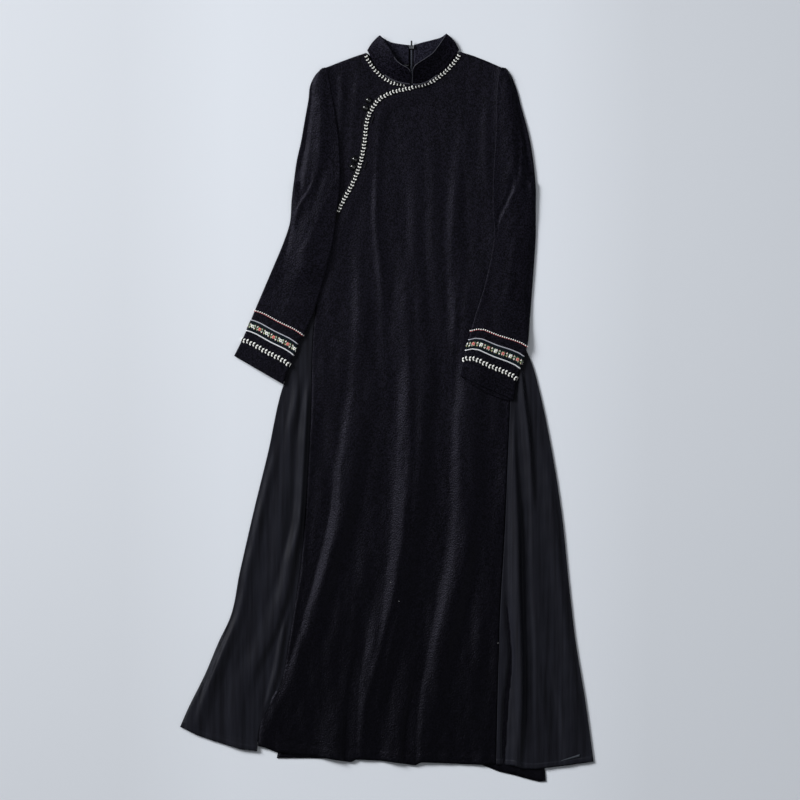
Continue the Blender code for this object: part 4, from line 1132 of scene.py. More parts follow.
def sleeve_skin(rows, armhole, distances, out=0.0):
    """Points of a sleeve's outside, as rows along it and columns round it: along its lower
    layer from the underarm seam to the inner fold, back over the top, and under again."""
    front_gap, back_gap, least_run = 0.8, 2.5, 0.02
    outer_share, head_reach, head_drop = 0.2, 16, 1.5
    fold_reach, puff_reach, puff_from_head = 20, 58, 60
    crease_reach, crease_from, crease_rise = 14, 112, 30
    sway_rise, sway_to, sway_fall = 28, 110, 60
    sign = side_of(rows)
    d = np.asarray(distances, float)[:, None]
    ox, oy, ix, iy = (smooth(rows, d, column) for column in range(1, 5))
    width = np.hypot(ix - ox, iy - oy)
    ax, ay = (ix - ox) / width, (iy - oy) / width
    to_head = ease((d - (rows[-1][0] - HEAD_REACH)) / HEAD_REACH)
    edge = np.minimum(EDGE_BULK - (EDGE_BULK - HEAD_BULK) * to_head, 0.4 * width)
    turn = edge / 2 / width
    middle_y = (oy + iy) / 2
    is_open = middle_y > UNDERARM_Y
    opened = (straight(armhole, middle_y) - ox) / (ix - ox)
    at_underarm = (abs(armhole[0][1] - UNDERARM_OUTER[int(sign > 0)]) - WOOL) / width
    down = np.maximum(0.0, 1 - d / UNDERARM_DISTANCE)
    closed = at_underarm + (SEAM_AT_CUFF - at_underarm) * down
    front_end = np.where(is_open, opened + front_gap / width, closed)
    back_end = np.where(is_open, opened - back_gap / width, closed)
    front_end = np.minimum(front_end, 1 - turn - least_run)
    back_end = np.maximum(back_end, turn + least_run)
    lift = TRIM_LIFT * ease((TRIM_LIFT_FROM - d) / TRIM_LIFT_SLOPE)
    angles = np.radians(np.linspace(0, 180, TURN + 2)[1:-1])
    runs = [
        (front_end + (1 - turn - front_end) * np.linspace(0, 1, A_RUN), 0.0),
        (1 - turn + turn * np.sin(angles), 0.5 - 0.5 * np.cos(angles)),
        (1 - turn + (2 * turn - 1) * np.linspace(0, 1, TOP_RUN), 1.0),
        (turn - turn * np.sin(angles), 0.5 + 0.5 * np.cos(angles)),
        (turn + (back_end - turn) * np.linspace(0, 1, B_RUN), 0.0),
    ]
    share = np.hstack([np.broadcast_to(s, (len(d), s.shape[-1])) for s, _ in runs])
    level = np.hstack([
        np.broadcast_to(np.asarray(l, float), (len(d), s.shape[-1])) for s, l in runs
    ])
    x, y = ox + share * width * ax, oy + share * width * ay
    from_fold = np.minimum(share, 1 - share) * width
    base = support(x, y, 1 + UPPER_SPREAD * level * ease(from_fold / fold_reach)) + lift
    base[:, -B_RUN:] = np.where(is_open, 0.0, base[:, -B_RUN:])
    outer = is_open & (level > 0) & (share < outer_share)
    base = np.where(outer, base * ease(share / outer_share), base)
    top_end = float(rows[-1][0])
    head = 1 - ease((top_end - d) / head_reach)
    puff = (SLEEVE_BULK - EDGE_BULK) * ease(from_fold / puff_reach) * ease((top_end - d) / puff_from_head)
    relief = CREASE_GAIN * crease_relief(CREASES[sign], x, y) + uneven("sleeve", x, y, sign)
    relief = relief * ease(from_fold / crease_reach) * ease((d - crease_from) / crease_rise)
    z = base + level * edge + np.where(level == 1, puff + relief, 0.0) - head_drop * head * level
    near_cuff = ease(d / sway_rise) * (1 - ease((d - sway_to) / sway_fall))
    sway = straight(SWAY[sign], share) * near_cuff * level
    x, y = x + sway * ay * sign, y + sway * np.abs(ax)
    points = np.stack([x, y, z], axis=-1)
    if out:
        flat = np.stack([(x - ox) * ax + (y - oy) * ay, z], axis=-1)
        heading = np.roll(flat, -1, axis=1) - np.roll(flat, 1, axis=1)
        heading[:, 0] = heading[:, -1] = flat[:, 1] - flat[:, -2]
        heading /= np.linalg.norm(heading, axis=2)[..., None]
        move = out * np.stack([heading[..., 1], -heading[..., 0]], axis=-1)
        points = points + np.stack([move[..., 0] * ax, move[..., 0] * ay, move[..., 1]], axis=-1)
    return points


def make_sleeve(name, rows, armhole):
    """A sleeve, whose cuff is rounded off at its edge."""
    row_step, rim_reach, rim_drop = 3.2, 2.0, 0.25
    top = rows[-1][0]
    distances = np.concatenate([[0, 0.6, 1.6], np.linspace(4, top, int(top / row_step))])
    points = sleeve_skin(rows, armhole, distances)
    rim = 1 - ease(distances / rim_reach)
    middle = points[0].mean(axis=0)
    points[:, :, 2] -= (rim[:, None] * rim_drop) * np.sign(points[:, :, 2] - middle[2])
    item = grid_object("arm_" + name, points, SLEEVE_LOOK, flip=side_of(rows) < 0)
    return stands(thicken(item, CLOTH, -1), "sleeve_" + name)


# How far the right cuff's lower layer shows past its upper layer
PEEK = 9.0


def make_cuff_peek(rows):
    """The edge of the right cuff's lower layer, which shows past its upper layer."""
    tucked, ends, low, drop = 5, (0.03, 0.97), 0.9, 1.2
    across = np.linspace(*ends, 48)
    ox, oy, ix, iy = rows[0][1:]
    length = math.hypot(ix - ox, iy - oy)
    out_x, out_y = (iy - oy) / length, -(ix - ox) / length
    layers = []
    for share in np.linspace(0, 1, 8):
        past = share * (tucked + PEEK * np.sin(np.pi * across ** 0.8) ** 0.8) - tucked
        x, y = ox + across * (ix - ox) - past * out_x, oy + across * (iy - oy) - past * out_y
        layers.append(np.column_stack([x, y, support(x, y) + low + drop * (1 - share)]))
    item = grid_object("cuff_lower_right", np.stack(layers), WOOL_LOOK, flip=True)
    return stands(thicken(item, 0.9, -1))


def ring_at(rows, armhole, trim, out):
    """A closed ring round a sleeve at the middle of a trim, with the directions along it, up
    the sleeve and off the cloth."""
    step = 2.0
    distance = sum(CUFF_TRIMS[trim]) / 2
    rings = sleeve_skin(rows, armhole, [distance - step, distance, distance + step], out)
    ring, up = rings[1], rings[2] - rings[0]
    up = up / np.linalg.norm(up, axis=1)[:, None]
    ahead = np.roll(ring, -1, axis=0) - np.roll(ring, 1, axis=0)
    ahead[0] = ahead[-1] = ring[1] - ring[-2]
    ahead /= np.linalg.norm(ahead, axis=1)[:, None]
    off = np.cross(up, ahead) * -side_of(rows)
    off /= np.linalg.norm(off, axis=1)[:, None]
    return ring, ahead, up, off


def spots_on(around, spacing):
    """Evenly spaced places on a ring, with their directions."""
    reach = reach_of(around[0])
    count = int(round(reach[-1] / spacing))
    at = (np.arange(count) + 0.5) / count * reach[-1]
    values = np.hstack(around)
    found = np.column_stack([np.interp(at, reach, values[:, i]) for i in range(12)])
    return [(row[:3], row[3:6], row[6:9], row[9:12]) for row in found]


# Walls of the bands round a cuff, how far off the cloth each lies, and the spare of the braid's
TRIM_WALL = 0.55
GROUND_OUT, LINE_OUT, THREAD_OUT, TWINE_OUT = 0.12, 0.5, 0.75, 0.6
BRAID_SPARE = 0.5
LINE_WIDTHS = {"lower": 2.1, "upper": 1.9}


def band(name, rows, armhole, start, end, out, look, steps=5):
    """A flat band round a sleeve, from one distance to another."""
    points = sleeve_skin(rows, armhole, np.linspace(start, end, steps), out)
    return thicken(grid_object(name, points, look, flip=side_of(rows) < 0), TRIM_WALL, 1)


# Stitched leaves: their spacing on the front and the cuffs, their size on the cuffs, and how
# far the two of a pair spread and tilt
LEAF_STEP, CUFF_LEAF_STEP = 6.1, 6.7
CUFF_LEAF_SIZE = 1.14
LEAF_LENGTH, LEAF_WIDTH, LEAF_HIGH = 5.0, 2.8, 0.9
LEAF_SPREAD = 0.92
LEAF_TILT = 0.26


def leaf_pair(heap, place, tip, off, number, size=1.0):
    """Two stitched leaves that meet in a point towards the tip direction; every second
    pair is tilted, with one long and one short leaf."""
    shape, faces = petal(LEAF_LENGTH, LEAF_WIDTH, LEAF_HIGH)
    tip = tip / np.linalg.norm(tip)
    root = place + tip * LEAF_LENGTH * 0.42 * size
    tilt, sizes = (0.0, (1.0, 1.0)) if number % 2 else (LEAF_TILT, (1.12, 0.82))
    for sign, share in zip((1, -1), sizes):
        leaf = set_at(shape, root, -tip, off, sign * LEAF_SPREAD + tilt, size * share)
        heap.put(leaf, faces, LEAF_LOOK)


def cuff_leaves(heap, rows, armhole):
    around = ring_at(rows, armhole, "leaf_braid", THREAD_OUT)
    for i, (place, ahead, _, off) in enumerate(spots_on(around, CUFF_LEAF_STEP)):
        leaf_pair(heap, place, -side_of(rows) * ahead, off, i, CUFF_LEAF_SIZE)


# The ribbon's pattern: ten places, of which each fifth is a flower, and the rest are pairs of
# leaves, some with a bud. Flowers: petals and heart. Leaves: the upper and the lower one.
RIBBON_STEP = 3.0
FLOWER_SIZE = 1.3
FLOWERS = ((PINK_LOOK, RED_LOOK), (WHITE_LOOK, OLIVE_LOOK))
LEAF_TINTS = (
    (SAGE_LOOK, WHITE_LOOK), (GREEN_LOOK, SAGE_LOOK), (WHITE_LOOK, OLIVE_LOOK), (SAGE_LOOK, SAGE_LOOK),
)
RIBBON_LEAN = 0.35
BUD_REACH = 3.6


def flower(heap, place, ahead, off, petals, heart):
    shape, faces = petal(2.9, 2.3, 0.45, 8)
    for turn in np.linspace(0, 2 * np.pi, 5, endpoint=False):
        heap.put(set_at(shape, place, ahead, off, turn + 0.3, FLOWER_SIZE), faces, petals)
    dome, dome_faces = ball(0.95, 0.75, 8, 3)
    heap.put(set_at(dome, place + off * 0.15, ahead, off, 0, FLOWER_SIZE), dome_faces, heart)


def cuff_ribbon(heap, rows, armhole):
    """A row of small flowers, pink and white in turn, with upright leaves between them."""
    leaf, leaf_faces = petal(4.6, 1.9, 0.4, 8)
    bud, bud_faces = ball(0.8, 0.55, 6, 2)
    around = ring_at(rows, armhole, "ribbon", THREAD_OUT)
    for i, (place, ahead, up, off) in enumerate(spots_on(around, RIBBON_STEP)):
        turn, step = divmod(i % 10, 5)
        if step == 0:
            flower(heap, place, ahead, off, *FLOWERS[turn])
            continue
        upper, lower = LEAF_TINTS[(step + turn) % 4]
        lean = RIBBON_LEAN if step % 2 else -RIBBON_LEAN
        heap.put(set_at(leaf, place + up * 0.3, up, off, lean), leaf_faces, upper)
        heap.put(set_at(leaf, place - up * 0.3, -up, off, -lean), leaf_faces, lower)
        if step in (2, 3):
            root = place + up * (BUD_REACH if step == 2 else -BUD_REACH)
            heap.put(set_at(bud, root, ahead, off), bud_faces, RED_LOOK)


# Twine: the radius of its red cord and how far down the trim that lies; its knots' spacing,
# how far up they lie, how deep they are sunk, and how far they are turned
TWINE_RADIUS, TWINE_DOWN = 0.62, 0.75
KNOT_STEP, KNOT_UP, KNOT_SUNK, KNOT_TURN = 4.3, 0.55, 0.3, 0.35


def cuff_twine(heap, rows, armhole):
    """A red cord with white knots whipped along its upper side."""
    around = ring_at(rows, armhole, "twine", TWINE_OUT)
    heap.put(*tube(around[0] - TWINE_DOWN * around[2], TWINE_RADIUS, 6), RED_LOOK)
    knot, knot_faces = ball(1.5, 2.2, 8, 4)
    for place, ahead, up, off in spots_on(around, KNOT_STEP):
        spot = set_at(knot, place + KNOT_UP * up - KNOT_SUNK * off, ahead, off, KNOT_TURN)
        heap.put(spot, knot_faces, WHITE_LOOK)


def stitched(name, stitch, rows, armhole, node=None):
    """A cuff trim's threads, in one piece."""
    heap = Heap()
    stitch(heap, rows, armhole)
    return stands(heap.made(name), node)


def make_trims(name, rows, armhole):
    """The leaf braid, the flowered ribbon with its two edge lines, and the twine of one cuff."""
    start, end = CUFF_TRIMS["leaf_braid"]
    ground = band(f"leaf_ground_{name}", rows, armhole, start - BRAID_SPARE, end + BRAID_SPARE,
                  GROUND_OUT, BRAID_LOOK)
    trims = [
        stands(ground),
        stitched(f"cuff_leaves_{name}", cuff_leaves, rows, armhole,
                 f"cuff_leaf_braid_{name}"),
    ]
    start, end = CUFF_TRIMS["ribbon"]
    ribbon = band(f"ribbon_ground_{name}", rows, armhole, start, end, GROUND_OUT, RIBBON_LOOK)
    trims.append(stands(ribbon, "cuff_ribbon_" + name))
    lines = {"lower": (start, start + LINE_WIDTHS["lower"]), "upper": (end - LINE_WIDTHS["upper"], end)}
    for side, (low, high) in lines.items():
        line = band(f"ribbon_{side}_{name}", rows, armhole, low, high, LINE_OUT, LINE_LOOKS[side], 4)
        trims.append(stands(line))
    trims.append(stitched(f"ribbon_flowers_{name}", cuff_ribbon, rows, armhole))
    trims.append(stitched(f"twine_{name}", cuff_twine, rows, armhole, "cuff_twine_" + name))
    return trims


def make_sleeves():
    """Each sleeve with the trims and pieces that lie on it."""
    made = []
    for name, rows, armhole in (
        ("left", SLEEVE_LEFT[:-1] + HEADS[-1], ARMHOLE_LEFT),
        ("right", SLEEVE_RIGHT[:-1] + HEADS[1], ARMHOLE_RIGHT),
    ):
        made.append((make_sleeve(name, rows, armhole), make_trims(name, rows, armhole)))
    made[1][1].append(make_cuff_peek(SLEEVE_RIGHT))
    return made


# ---------------------------------------------------------------- sheer side panels

# Lengthwise folds of each panel's front layer, like those of the front
SHEER_LINES = {
    -1: (
        (
            (70, -138, 0, 16, 10), (16, -147, 5.0, 15, 12), (-60, -154, 6.6, 18, 12),
            (-136, -157, 7.2, 18, 13), (-212, -164, 7.4, 18, 14), (-269, -178, 7.6, 19, 15),
            (-345, -193, 6.0, 26, 17), (-421, -216, 4.2, 36, 16), (-497, -254, 3.4, 38, 20),
            (-573, -280, 2.6, 38, 26), (-660, -292, 1.8, 38, 30),
        ),
        (
            (70, -168, 0, 12, 12), (16, -173, 4.6, 13, 12), (-60, -184, 3.0, 16, 14),
            (-136, -188, 2.4, 20, 14), (-269, -206, 2.0, 24, 16), (-400, -236, 0, 24, 16),
        ),
        (
            (-60, -214, 0, 10, 18), (-136, -230, 4.2, 11, 20), (-269, -262, 4.0, 12, 24),
            (-421, -297, 5.0, 12, 24), (-497, -328, 6.4, 12, 26), (-573, -352, 3.0, 12, 26),
            (-620, -364, 0, 12, 26),
        ),
        (
            (-370, -184, 0, 8, 8), (-421, -196, 3.0, 8, 9), (-497, -210, 4.0, 9, 11),
            (-560, -226, 2.6, 9, 12), (-640, -240, 0, 10, 12),
        ),
    ),
    1: (
        (
            (10, 240, 0, 14, 9), (-80, 242, 4.6, 20, 9), (-174, 246, 8.0, 22, 9),
            (-250, 249, 10.5, 24, 9), (-326, 250, 10.8, 24, 9), (-402, 252, 10.8, 24, 9),
            (-478, 255, 10.8, 24, 9), (-554, 255, 10.4, 24, 9), (-630, 252, 7.0, 22, 11),
            (-680, 249, 4.4, 20, 12),
        ),
        (
            (-330, 226, 0, 8, 8), (-402, 231, -3.4, 8, 8), (-478, 237, -5.0, 9, 8),
            (-554, 227, -6.0, 8, 9), (-630, 223, -5.0, 8, 9), (-690, 221, -2.0, 8, 9),
        ),
        (
            (-100, 272, 0, 12, 30), (-174, 277, 2.6, 12, 34), (-326, 280, 2.8, 12, 36),
            (-478, 287, 3.0, 13, 40), (-600, 290, 2.0, 16, 40), (-690, 290, 0, 16, 40),
        ),
        (
            (-60, 306, 0, 30, 10), (-174, 320, 3.8, 34, 10), (-326, 338, 4.0, 34, 10),
            (-478, 356, 3.0, 34, 10), (-600, 374, 1.8, 34, 10), (-690, 392, 0, 34, 10),
        ),
        (
            (90, 252, 0, 12, 6), (54, 257, 4.6, 13, 6), (16, 261, 6.0, 14, 6),
            (-35, 267, 6.4, 15, 7), (-85, 272, 6.0, 15, 7), (-136, 275, 4.4, 14, 8),
            (-200, 278, 0, 12, 8),
        ),
        (
            (-470, 300, 0, 20, 16), (-540, 312, -3.2, 22, 16), (-620, 324, -2.4, 22, 18),
            (-690, 332, 0, 22, 20),
        ),
    ),
}
# How far the back layer's edge lies inside the front layer's below the slit, by y
SLIT_INSET = {
    -1: ((-605, 8.0), (-596, 10.0), (-573, 11.0), (-554, 8.0), (-535, 6.0), (-516, 10.0),
         (-489, 16.0), (-459, 7.0), (-440, 5.0), (-410, 0.0)),
    1: ((-671, 5.0), (-600, 4.0), (-500, 6.0), (-440, 3.0), (-410, 0.0)),
}
# Where each back seam ends
BACK_LOW = {-1: -640, 1: -680}
# How much wider the panels are under the cuffs, above a y
UNDER_CUFF, UNDER_CUFF_Y = {-1: 7.0, 1: 0.0}, 48
# How much of the solids' folds the panels keep under their own
SHEER_GAIN = 0.1
# The panels' hems: their depth, how far off the cloth they lie, and their wall
SHEER_HEM, HEM_OFF, HEM_WALL = 12.0, 0.06, 0.14
# The wool's seam allowance behind each panel: its width, where it starts, how far under the
# panel it lies, and its wall
ALLOWANCE, ALLOWANCE_TOP, ALLOWANCE_DOWN, ALLOWANCE_WALL = 13.0, 0.0, 1.2, 0.6
# The sliver of the right hem that has turned over, whose brightness is a painted highlight: its ends,
# its least width and how much wider it grows, each to one side
TURN_LEFT, TURN_RIGHT = (329.0, -669.6), (369.4, -658.4)
TURN_WIDTH, TURN_GROWTH = 0.4, 2.6


def hem_strips(name, layers, depth, flip):
    """The turned-up hem of each layer, as a strip over its lowest rows."""
    strips = []
    for part, rim in layers:
        raised = rim[:depth] + (0, 0, HEM_OFF)
        hem = grid_object(f"sheer_hem_{part}_{name}", raised, ORGANZA_HEM_LOOK, flip)
        strips.append(stands(thicken(hem, HEM_WALL, 1)))
    return strips


def make_hem_turn_highlight(front):
    """The sliver of the right panel's hem that has turned over, painted light as a bright highlight."""
    low = front[-1, :, 0]
    columns = np.flatnonzero((low > TURN_LEFT[0]) & (low < TURN_RIGHT[0]))
    layers = []
    for side in (-1, 1):
        rim = []
        for column in columns:
            share = (low[column] - TURN_LEFT[0]) / (TURN_RIGHT[0] - TURN_LEFT[0])
            middle = TURN_LEFT[1] + share * (TURN_RIGHT[1] - TURN_LEFT[1])
            y = middle + side * (TURN_WIDTH + TURN_GROWTH * share)
            z = np.interp(-y, -front[:, column, 1], front[:, column, 2]) + 0.75
            rim.append((low[column], y, z))
        layers.append(rim)
    item = grid_object("hem_turn_highlight_right", np.array(layers), TURN_HIGHLIGHT_LOOK)
    return stands(thicken(item, 0.2, -1))


def make_side_panel(name, sign, back_side, edge, hem, side):
    """A sheer panel: its front layer runs out from the front seam, turns at the edge, and
    its back layer returns on the floor. Below the slit the two layers part."""
    front_columns, turns, back_columns, rows = 68, 4, 22, 236
    fold_height, turn_reach, slit_gap, lowest, back_height = 2.9, 1.2, 0.7, 1.6, 0.5
    rise, flat_edge, rise_slope = 1.0, 4, 16
    seam_reach, seam_from_edge, fold_from_seam, fold_from_edge = 60, 14, 10, 16
    fine_from_seam, fine_from_edge, fine_least, fine_grown = 8, 10, 0.3, 0.4
    flange_rise, flange_end, flange_fall, flange_least = 120, 14, 60, 0.2
    low = BACK_LOW[sign]
    hem_seam, hem_edge = (hem[-1], hem[0]) if sign < 0 else (hem[0], hem[-1])
    seam_low = float(straight(HEM_FRONT, smooth(side, hem_seam[1])))
    top = WAIST_Y - 10
    down = np.linspace(0, 1, rows)[:, None]

    def lower_end(share):
        return straight(hem, hem_seam[0] + share * (hem_edge[0] - hem_seam[0]))

    def edge_x(y):
        under_cuff = UNDER_CUFF[sign] * ease((y - UNDER_CUFF_Y) / 20)
        return smooth(edge, y) - sign * turn_reach + sign * under_cuff

    share = np.linspace(0, 1, front_columns)[None, :]
    y = top + down * (lower_end(share) - top)
    seam_y = top + down * (seam_low - top)
    seam_x = smooth(side, seam_y)
    slope = (smooth(side, seam_low) - smooth(side, seam_low + 20)) / -20
    seam_x = seam_x + slope * (lower_end(0.0) - seam_low) * ease((down - 0.9) / 0.1)
    start = seam_x + sign * SEAM_GAP
    x = start + share * (edge_x(y) - start)
    from_seam, to_edge = np.abs(x - start), np.abs(edge_x(y) - x)
    z = fold_height + rise * ease((to_edge - flat_edge) / rise_slope)
    seam_z = front_underside(seam_x, seam_y)
    z = z + (seam_z - FRONT_LEVEL) * (1 - ease(from_seam / seam_reach)) * ease(to_edge / seam_from_edge)
    solid_folds = [fold for key, fold in SHEER_FOLDS.items() if name in key]
    raised = SHEER_GAIN * sum(ridge(fold, x, y) for fold in solid_folds)
    raised = raised + sum(ridge(fold, x, y) for fold in SHEER_LINES[sign])
    z = z + raised * ease(from_seam / fold_from_seam) * ease(to_edge / fold_from_edge)
    grown = fine_least + (1 - fine_least) * ease(down / fine_grown)
    fine = uneven("sheer", x, y, sign) * ease(from_seam / fine_from_seam)
    z = z + fine * ease(to_edge / fine_from_edge) * grown
    z = np.maximum(z, lowest)
    front = np.stack(np.broadcast_arrays(x, y, z), axis=-1)

    level = top + down[:, 0] * (lower_end(1.0) - top)
    parted = level < SLIT_Y
    inset = straight(SLIT_INSET[sign], level) * parted
    half = fold_height / 2
    turned = []
    for step in range(1, 2 * turns + 2):
        angle = step / (turns + 1) * math.pi / 2
        drop = slit_gap * parted * (step > turns)
        tx = edge_x(level) + sign * turn_reach * math.sin(angle) - sign * inset * (step > turns)
        turned.append(np.column_stack([tx, level, half - drop + half * math.cos(angle)]))
    turned = np.stack(turned, axis=1)
    back_y = WAIST_Y - (WAIST_Y - seam_y[:, 0]) * (WAIST_Y - low) / (WAIST_Y - seam_low)
    back_x = smooth(back_side, back_y) + sign * SEAM_GAP
    flat = []
    edge_back = edge_x(level) - sign * inset
    for share_back in np.linspace(0, 1, back_columns)[1:]:
        bx = edge_back + share_back * (back_x - edge_back)
        by = level + share_back * (back_y - level)
        flat.append(np.column_stack([bx, by, back_height + 0 * bx]))
    flat = np.stack(flat, axis=1)
    points = np.concatenate([front, turned, flat], axis=1)[::-1]
    columns = points.shape[1]
    split = front_columns + turns - 1
    open_rows = set(np.flatnonzero(parted[::-1]).tolist())
    faces = [
        face for face in grid_faces(rows, columns, flip=sign < 0)
        if min(face) % columns != split or min(face) // columns not in open_rows
    ]
    item = mesh_object("sheer_" + name, points.reshape(-1, 3), faces, ORGANZA_LOOK)
    stands(thicken(item, FINE, -1), "side_panel_" + name)

    hem_rows = max(3, int(round(SHEER_HEM / abs((lower_end(0.5) - top) / (rows - 1)))) + 1)
    extras = hem_strips(name, (("front", front[::-1]), ("back", flat[::-1])), hem_rows, sign < 0)

    spread = ease((ALLOWANCE_TOP - seam_y) / flange_rise)
    spread = spread * ease((seam_y - seam_low - flange_end) / flange_fall)
    across = np.linspace(0, 1, 6)[None, :]
    ax = seam_x + sign * (0.2 + ALLOWANCE * spread * across)
    column = np.clip(np.abs(ax - start) / np.maximum(np.abs(edge_x(seam_y) - start), 1), 0, 1)
    az = np.stack([
        np.interp(column[i], share[0], z[i]) for i in range(rows)
    ]) - ALLOWANCE_DOWN
    allowance = np.stack(np.broadcast_arrays(ax, seam_y, az), axis=-1)
    inside = allowance[spread[:, 0] > flange_least]
    flange = grid_object("seam_allowance_" + name, inside[::-1], WOOL_LOOK, flip=sign < 0)
    extras.append(stands(thicken(flange, ALLOWANCE_WALL, -1)))
    if sign > 0:
        extras.append(make_hem_turn_highlight(front))
    return item, extras


# Each panel's side (-1 left, 1 right), back seam, outer edge, hem and the body's side
PANELS = {
    "left": (-1, BACK_SIDE_LEFT, SHEER_LEFT_EDGE, HEM_SHEER_LEFT, SIDE_LEFT),
    "right": (1, BACK_SIDE_RIGHT, SHEER_RIGHT_EDGE, HEM_SHEER_RIGHT, SIDE_RIGHT),
}


# ---------------------------------------------------------------- collar

# Radii of the front corners' rounding, left and right, the row of the tables at the side of
# the neck, and the widths of the piping on the top edge and of the roll at the foot
CORNERS = (12.0, 9)
SIDE_ROW = 6
COLLAR_PIPING, COLLAR_FOOT = 1.24, 2.3


def collar_place(rows, on_right):
    """A function that finds the places on a collar half, by the distance along it and the
    share of its height, and the distances of its rows."""
    corner = CORNERS[on_right]
    table = np.array(rows, float)
    mid = (table[:, :3] + table[:, 3:]) / 2
    reach = reach_of(mid)
    measured = tuple(map(tuple, np.column_stack([reach, table])))
    bow = np.array([1.0 if on_right else -1.0, 1.0, 0.0]) / math.sqrt(2) * COLLAR_BOW[on_right]

    def place(at, share):
        spot = [float(smooth(measured, at, value)) for value in range(1, 7)]
        low, high = np.array(spot[:3]), np.array(spot[3:])
        tall = float(np.linalg.norm(high - low))
        rest = max(0.0, corner - at)
        cut = corner - math.sqrt(corner ** 2 - rest ** 2)
        share = share * (1 - cut / tall)
        near_side = 1 - ease(abs(at - reach[SIDE_ROW]) / COLLAR_BOW_REACH)
        return low + share * (high - low) + bow * near_side * math.sin(math.pi * share)

    return place, reach


def make_collar(name, rows):
    """A collar half, with the piping on its top edge and the roll at its foot."""
    on_right = int(rows[0][0] > CENTRE_X)
    place, reach = collar_place(rows, on_right)
    near, past_near = [0, 0.4, 1, 1.8, 2.8, 4, 5.4, 7, 8.6], 10
    foot_start, foot_end = 1.5, 52
    stations = near + list(np.linspace(past_near, reach[-1], 90))
    shares = np.linspace(0, 1, 22)
    points = np.array([[place(at, share) for at in stations] for share in shares])
    item = grid_object("stand_" + name, points, COLLAR_LOOK)
    # The back part of each collar half takes the wool painted lighter, as painted light on its shade
    item.data.materials.append(FACING_PAINTED_LIGHT_LOOK)
    for face in item.data.polygons:
        face.material_index = int(stations[face.index % (len(stations) - 1)] > reach[SIDE_ROW])
    stands(thicken(item, WOOL - 0.2, 0), "collar_" + name)
    if on_right:
        path = [place(0.0, share) for share in np.linspace(0.03, 1, 12)][:-1]
        path += [place(at, 1.0) for at in near + list(np.linspace(past_near, reach[SIDE_ROW] + 4, 60))]
    else:
        path = [place(at, 1.0) for at in near[2:] + list(np.linspace(past_near, reach[2] + 6, 50))]
    path = np.array(path)
    path = path + (0, -0.4, 0.9)
    piping = cord(f"collar_piping_{name}", along(path, 110), COLLAR_PIPING / 2, PIPING_LOOK)
    base = np.array([place(at, 0.0) for at in np.linspace(foot_start, foot_end, 30)])
    base = base + (0, -1.4, 1.0)
    foot = cord(f"collar_foot_{name}", base, COLLAR_FOOT / 2, PIPING_LOOK)
    return item, [stands(piping), stands(foot)]


# ---------------------------------------------------------------- braids, frogs and zip

def strip(name, path, width, level, high, look, crown=0.25):
    """A flat strip along a path, over the heights of the panel it lies on."""
    across = np.linspace(-1, 1, 7)
    rows = []
    for share in across:
        line = beside(path, share * width / 2)
        z = level(line[:, 0], line[:, 1]) + WOOL + SEAM + high + crown * (1 - share * share)
        rows.append(np.column_stack([line, z]))
    points = np.stack(rows, axis=1)
    item = grid_object(name, points, look, flip=True)
    return thicken(item, 0.6, 1)


# Where the leaves are small near the centre front, as spans of x, and how small; where they end
THIN_SPANS = {"neck": (14, 46), "placket": (50, 84)}
THIN_SIZE = 0.56
THIN_Y = 600
LEAVES_END_Y = 371
# Their size elsewhere, how far off the panel's underside they lie, and the piping's width
NECK_LEAF_SIZE, PLACKET_LEAF_SIZE = 0.84, 0.94
LEAF_OFF = WOOL + SEAM + 0.75
PLACKET_PIPING = 1.7


def braid_leaves(heap, path, level, thin, size):
    """Leaves along a path, pointing back along it."""
    reach = reach_of(path)
    count = int(reach[-1] / LEAF_STEP)
    heading = headings(path)
    for i in range(count):
        at = (i + 0.5) * reach[-1] / count
        x, y, hx, hy = (
            float(np.interp(at, reach, values))
            for values in (path[:, 0], path[:, 1], heading[:, 0], heading[:, 1])
        )
        if y < LEAVES_END_Y:
            continue
        share = THIN_SIZE if thin[0] < x < thin[1] and y > THIN_Y else size
        z = float(level(np.array([x]), np.array([y]))[0]) + LEAF_OFF
        tip = np.array([-hx, -hy, 0.0])
        leaf_pair(heap, np.array([x, y, z]), tip, np.array([0, 0, 1.0]), i, share)


def yoke_underside(x, y):
    return YOKE_LEVEL + 0 * x


def make_braids():
    """The braid round the neck and down the placket, and the satin edge beside it."""
    beside_neck = BRAID_WIDTH / 2 + EDGE_GAP
    beside_piping = PIPING_WIDTH + 2 * EDGE_GAP + BRAID_WIDTH / 2
    ground_width, neck_end_x, piping_off = BRAID_WIDTH - 0.6, 36, 0.8
    left_neck = beside(along(NECK[: NECK_CENTRE + 1], 90), -beside_neck)[2:]
    left_neck = left_neck[left_neck[:, 0] < neck_end_x]
    ground = strip("neck_ground", left_neck, ground_width, yoke_underside, 0.0, BRAID_LOOK)
    stands(ground, "neck_braid_left")
    heap = Heap()
    braid_leaves(heap, left_neck[::-1], yoke_underside, THIN_SPANS["neck"], NECK_LEAF_SIZE)

    placket = along(PLACKET[::-1], 160)
    placket = placket[placket[:, 1] > BRAID_END_Y]
    line = beside(placket[:-4], -(PIPING_WIDTH / 2 + SEAM))
    z = front_underside(line[:, 0], line[:, 1]) + WOOL + piping_off
    piping = cord("placket_edge", np.column_stack([line, z]), PLACKET_PIPING / 2, EDGE_LOOK)
    stands(piping, "placket_piping")

    neck = along(NECK[NECK_CENTRE:], 70)[4:-2]
    edge = np.vstack([beside(placket, -beside_piping)[:-2], beside(neck, -beside_neck)])
    edge = along(edge[::4], 240)
    placket_ground = strip("placket_ground", edge, ground_width, front_underside, 0.0, BRAID_LOOK)
    stands(placket_ground, "placket_braid")
    braid_leaves(heap, edge, front_underside, THIN_SPANS["placket"], PLACKET_LEAF_SIZE)
    return [ground, placket_ground, piping, stands(heap.made("front_leaves"))]


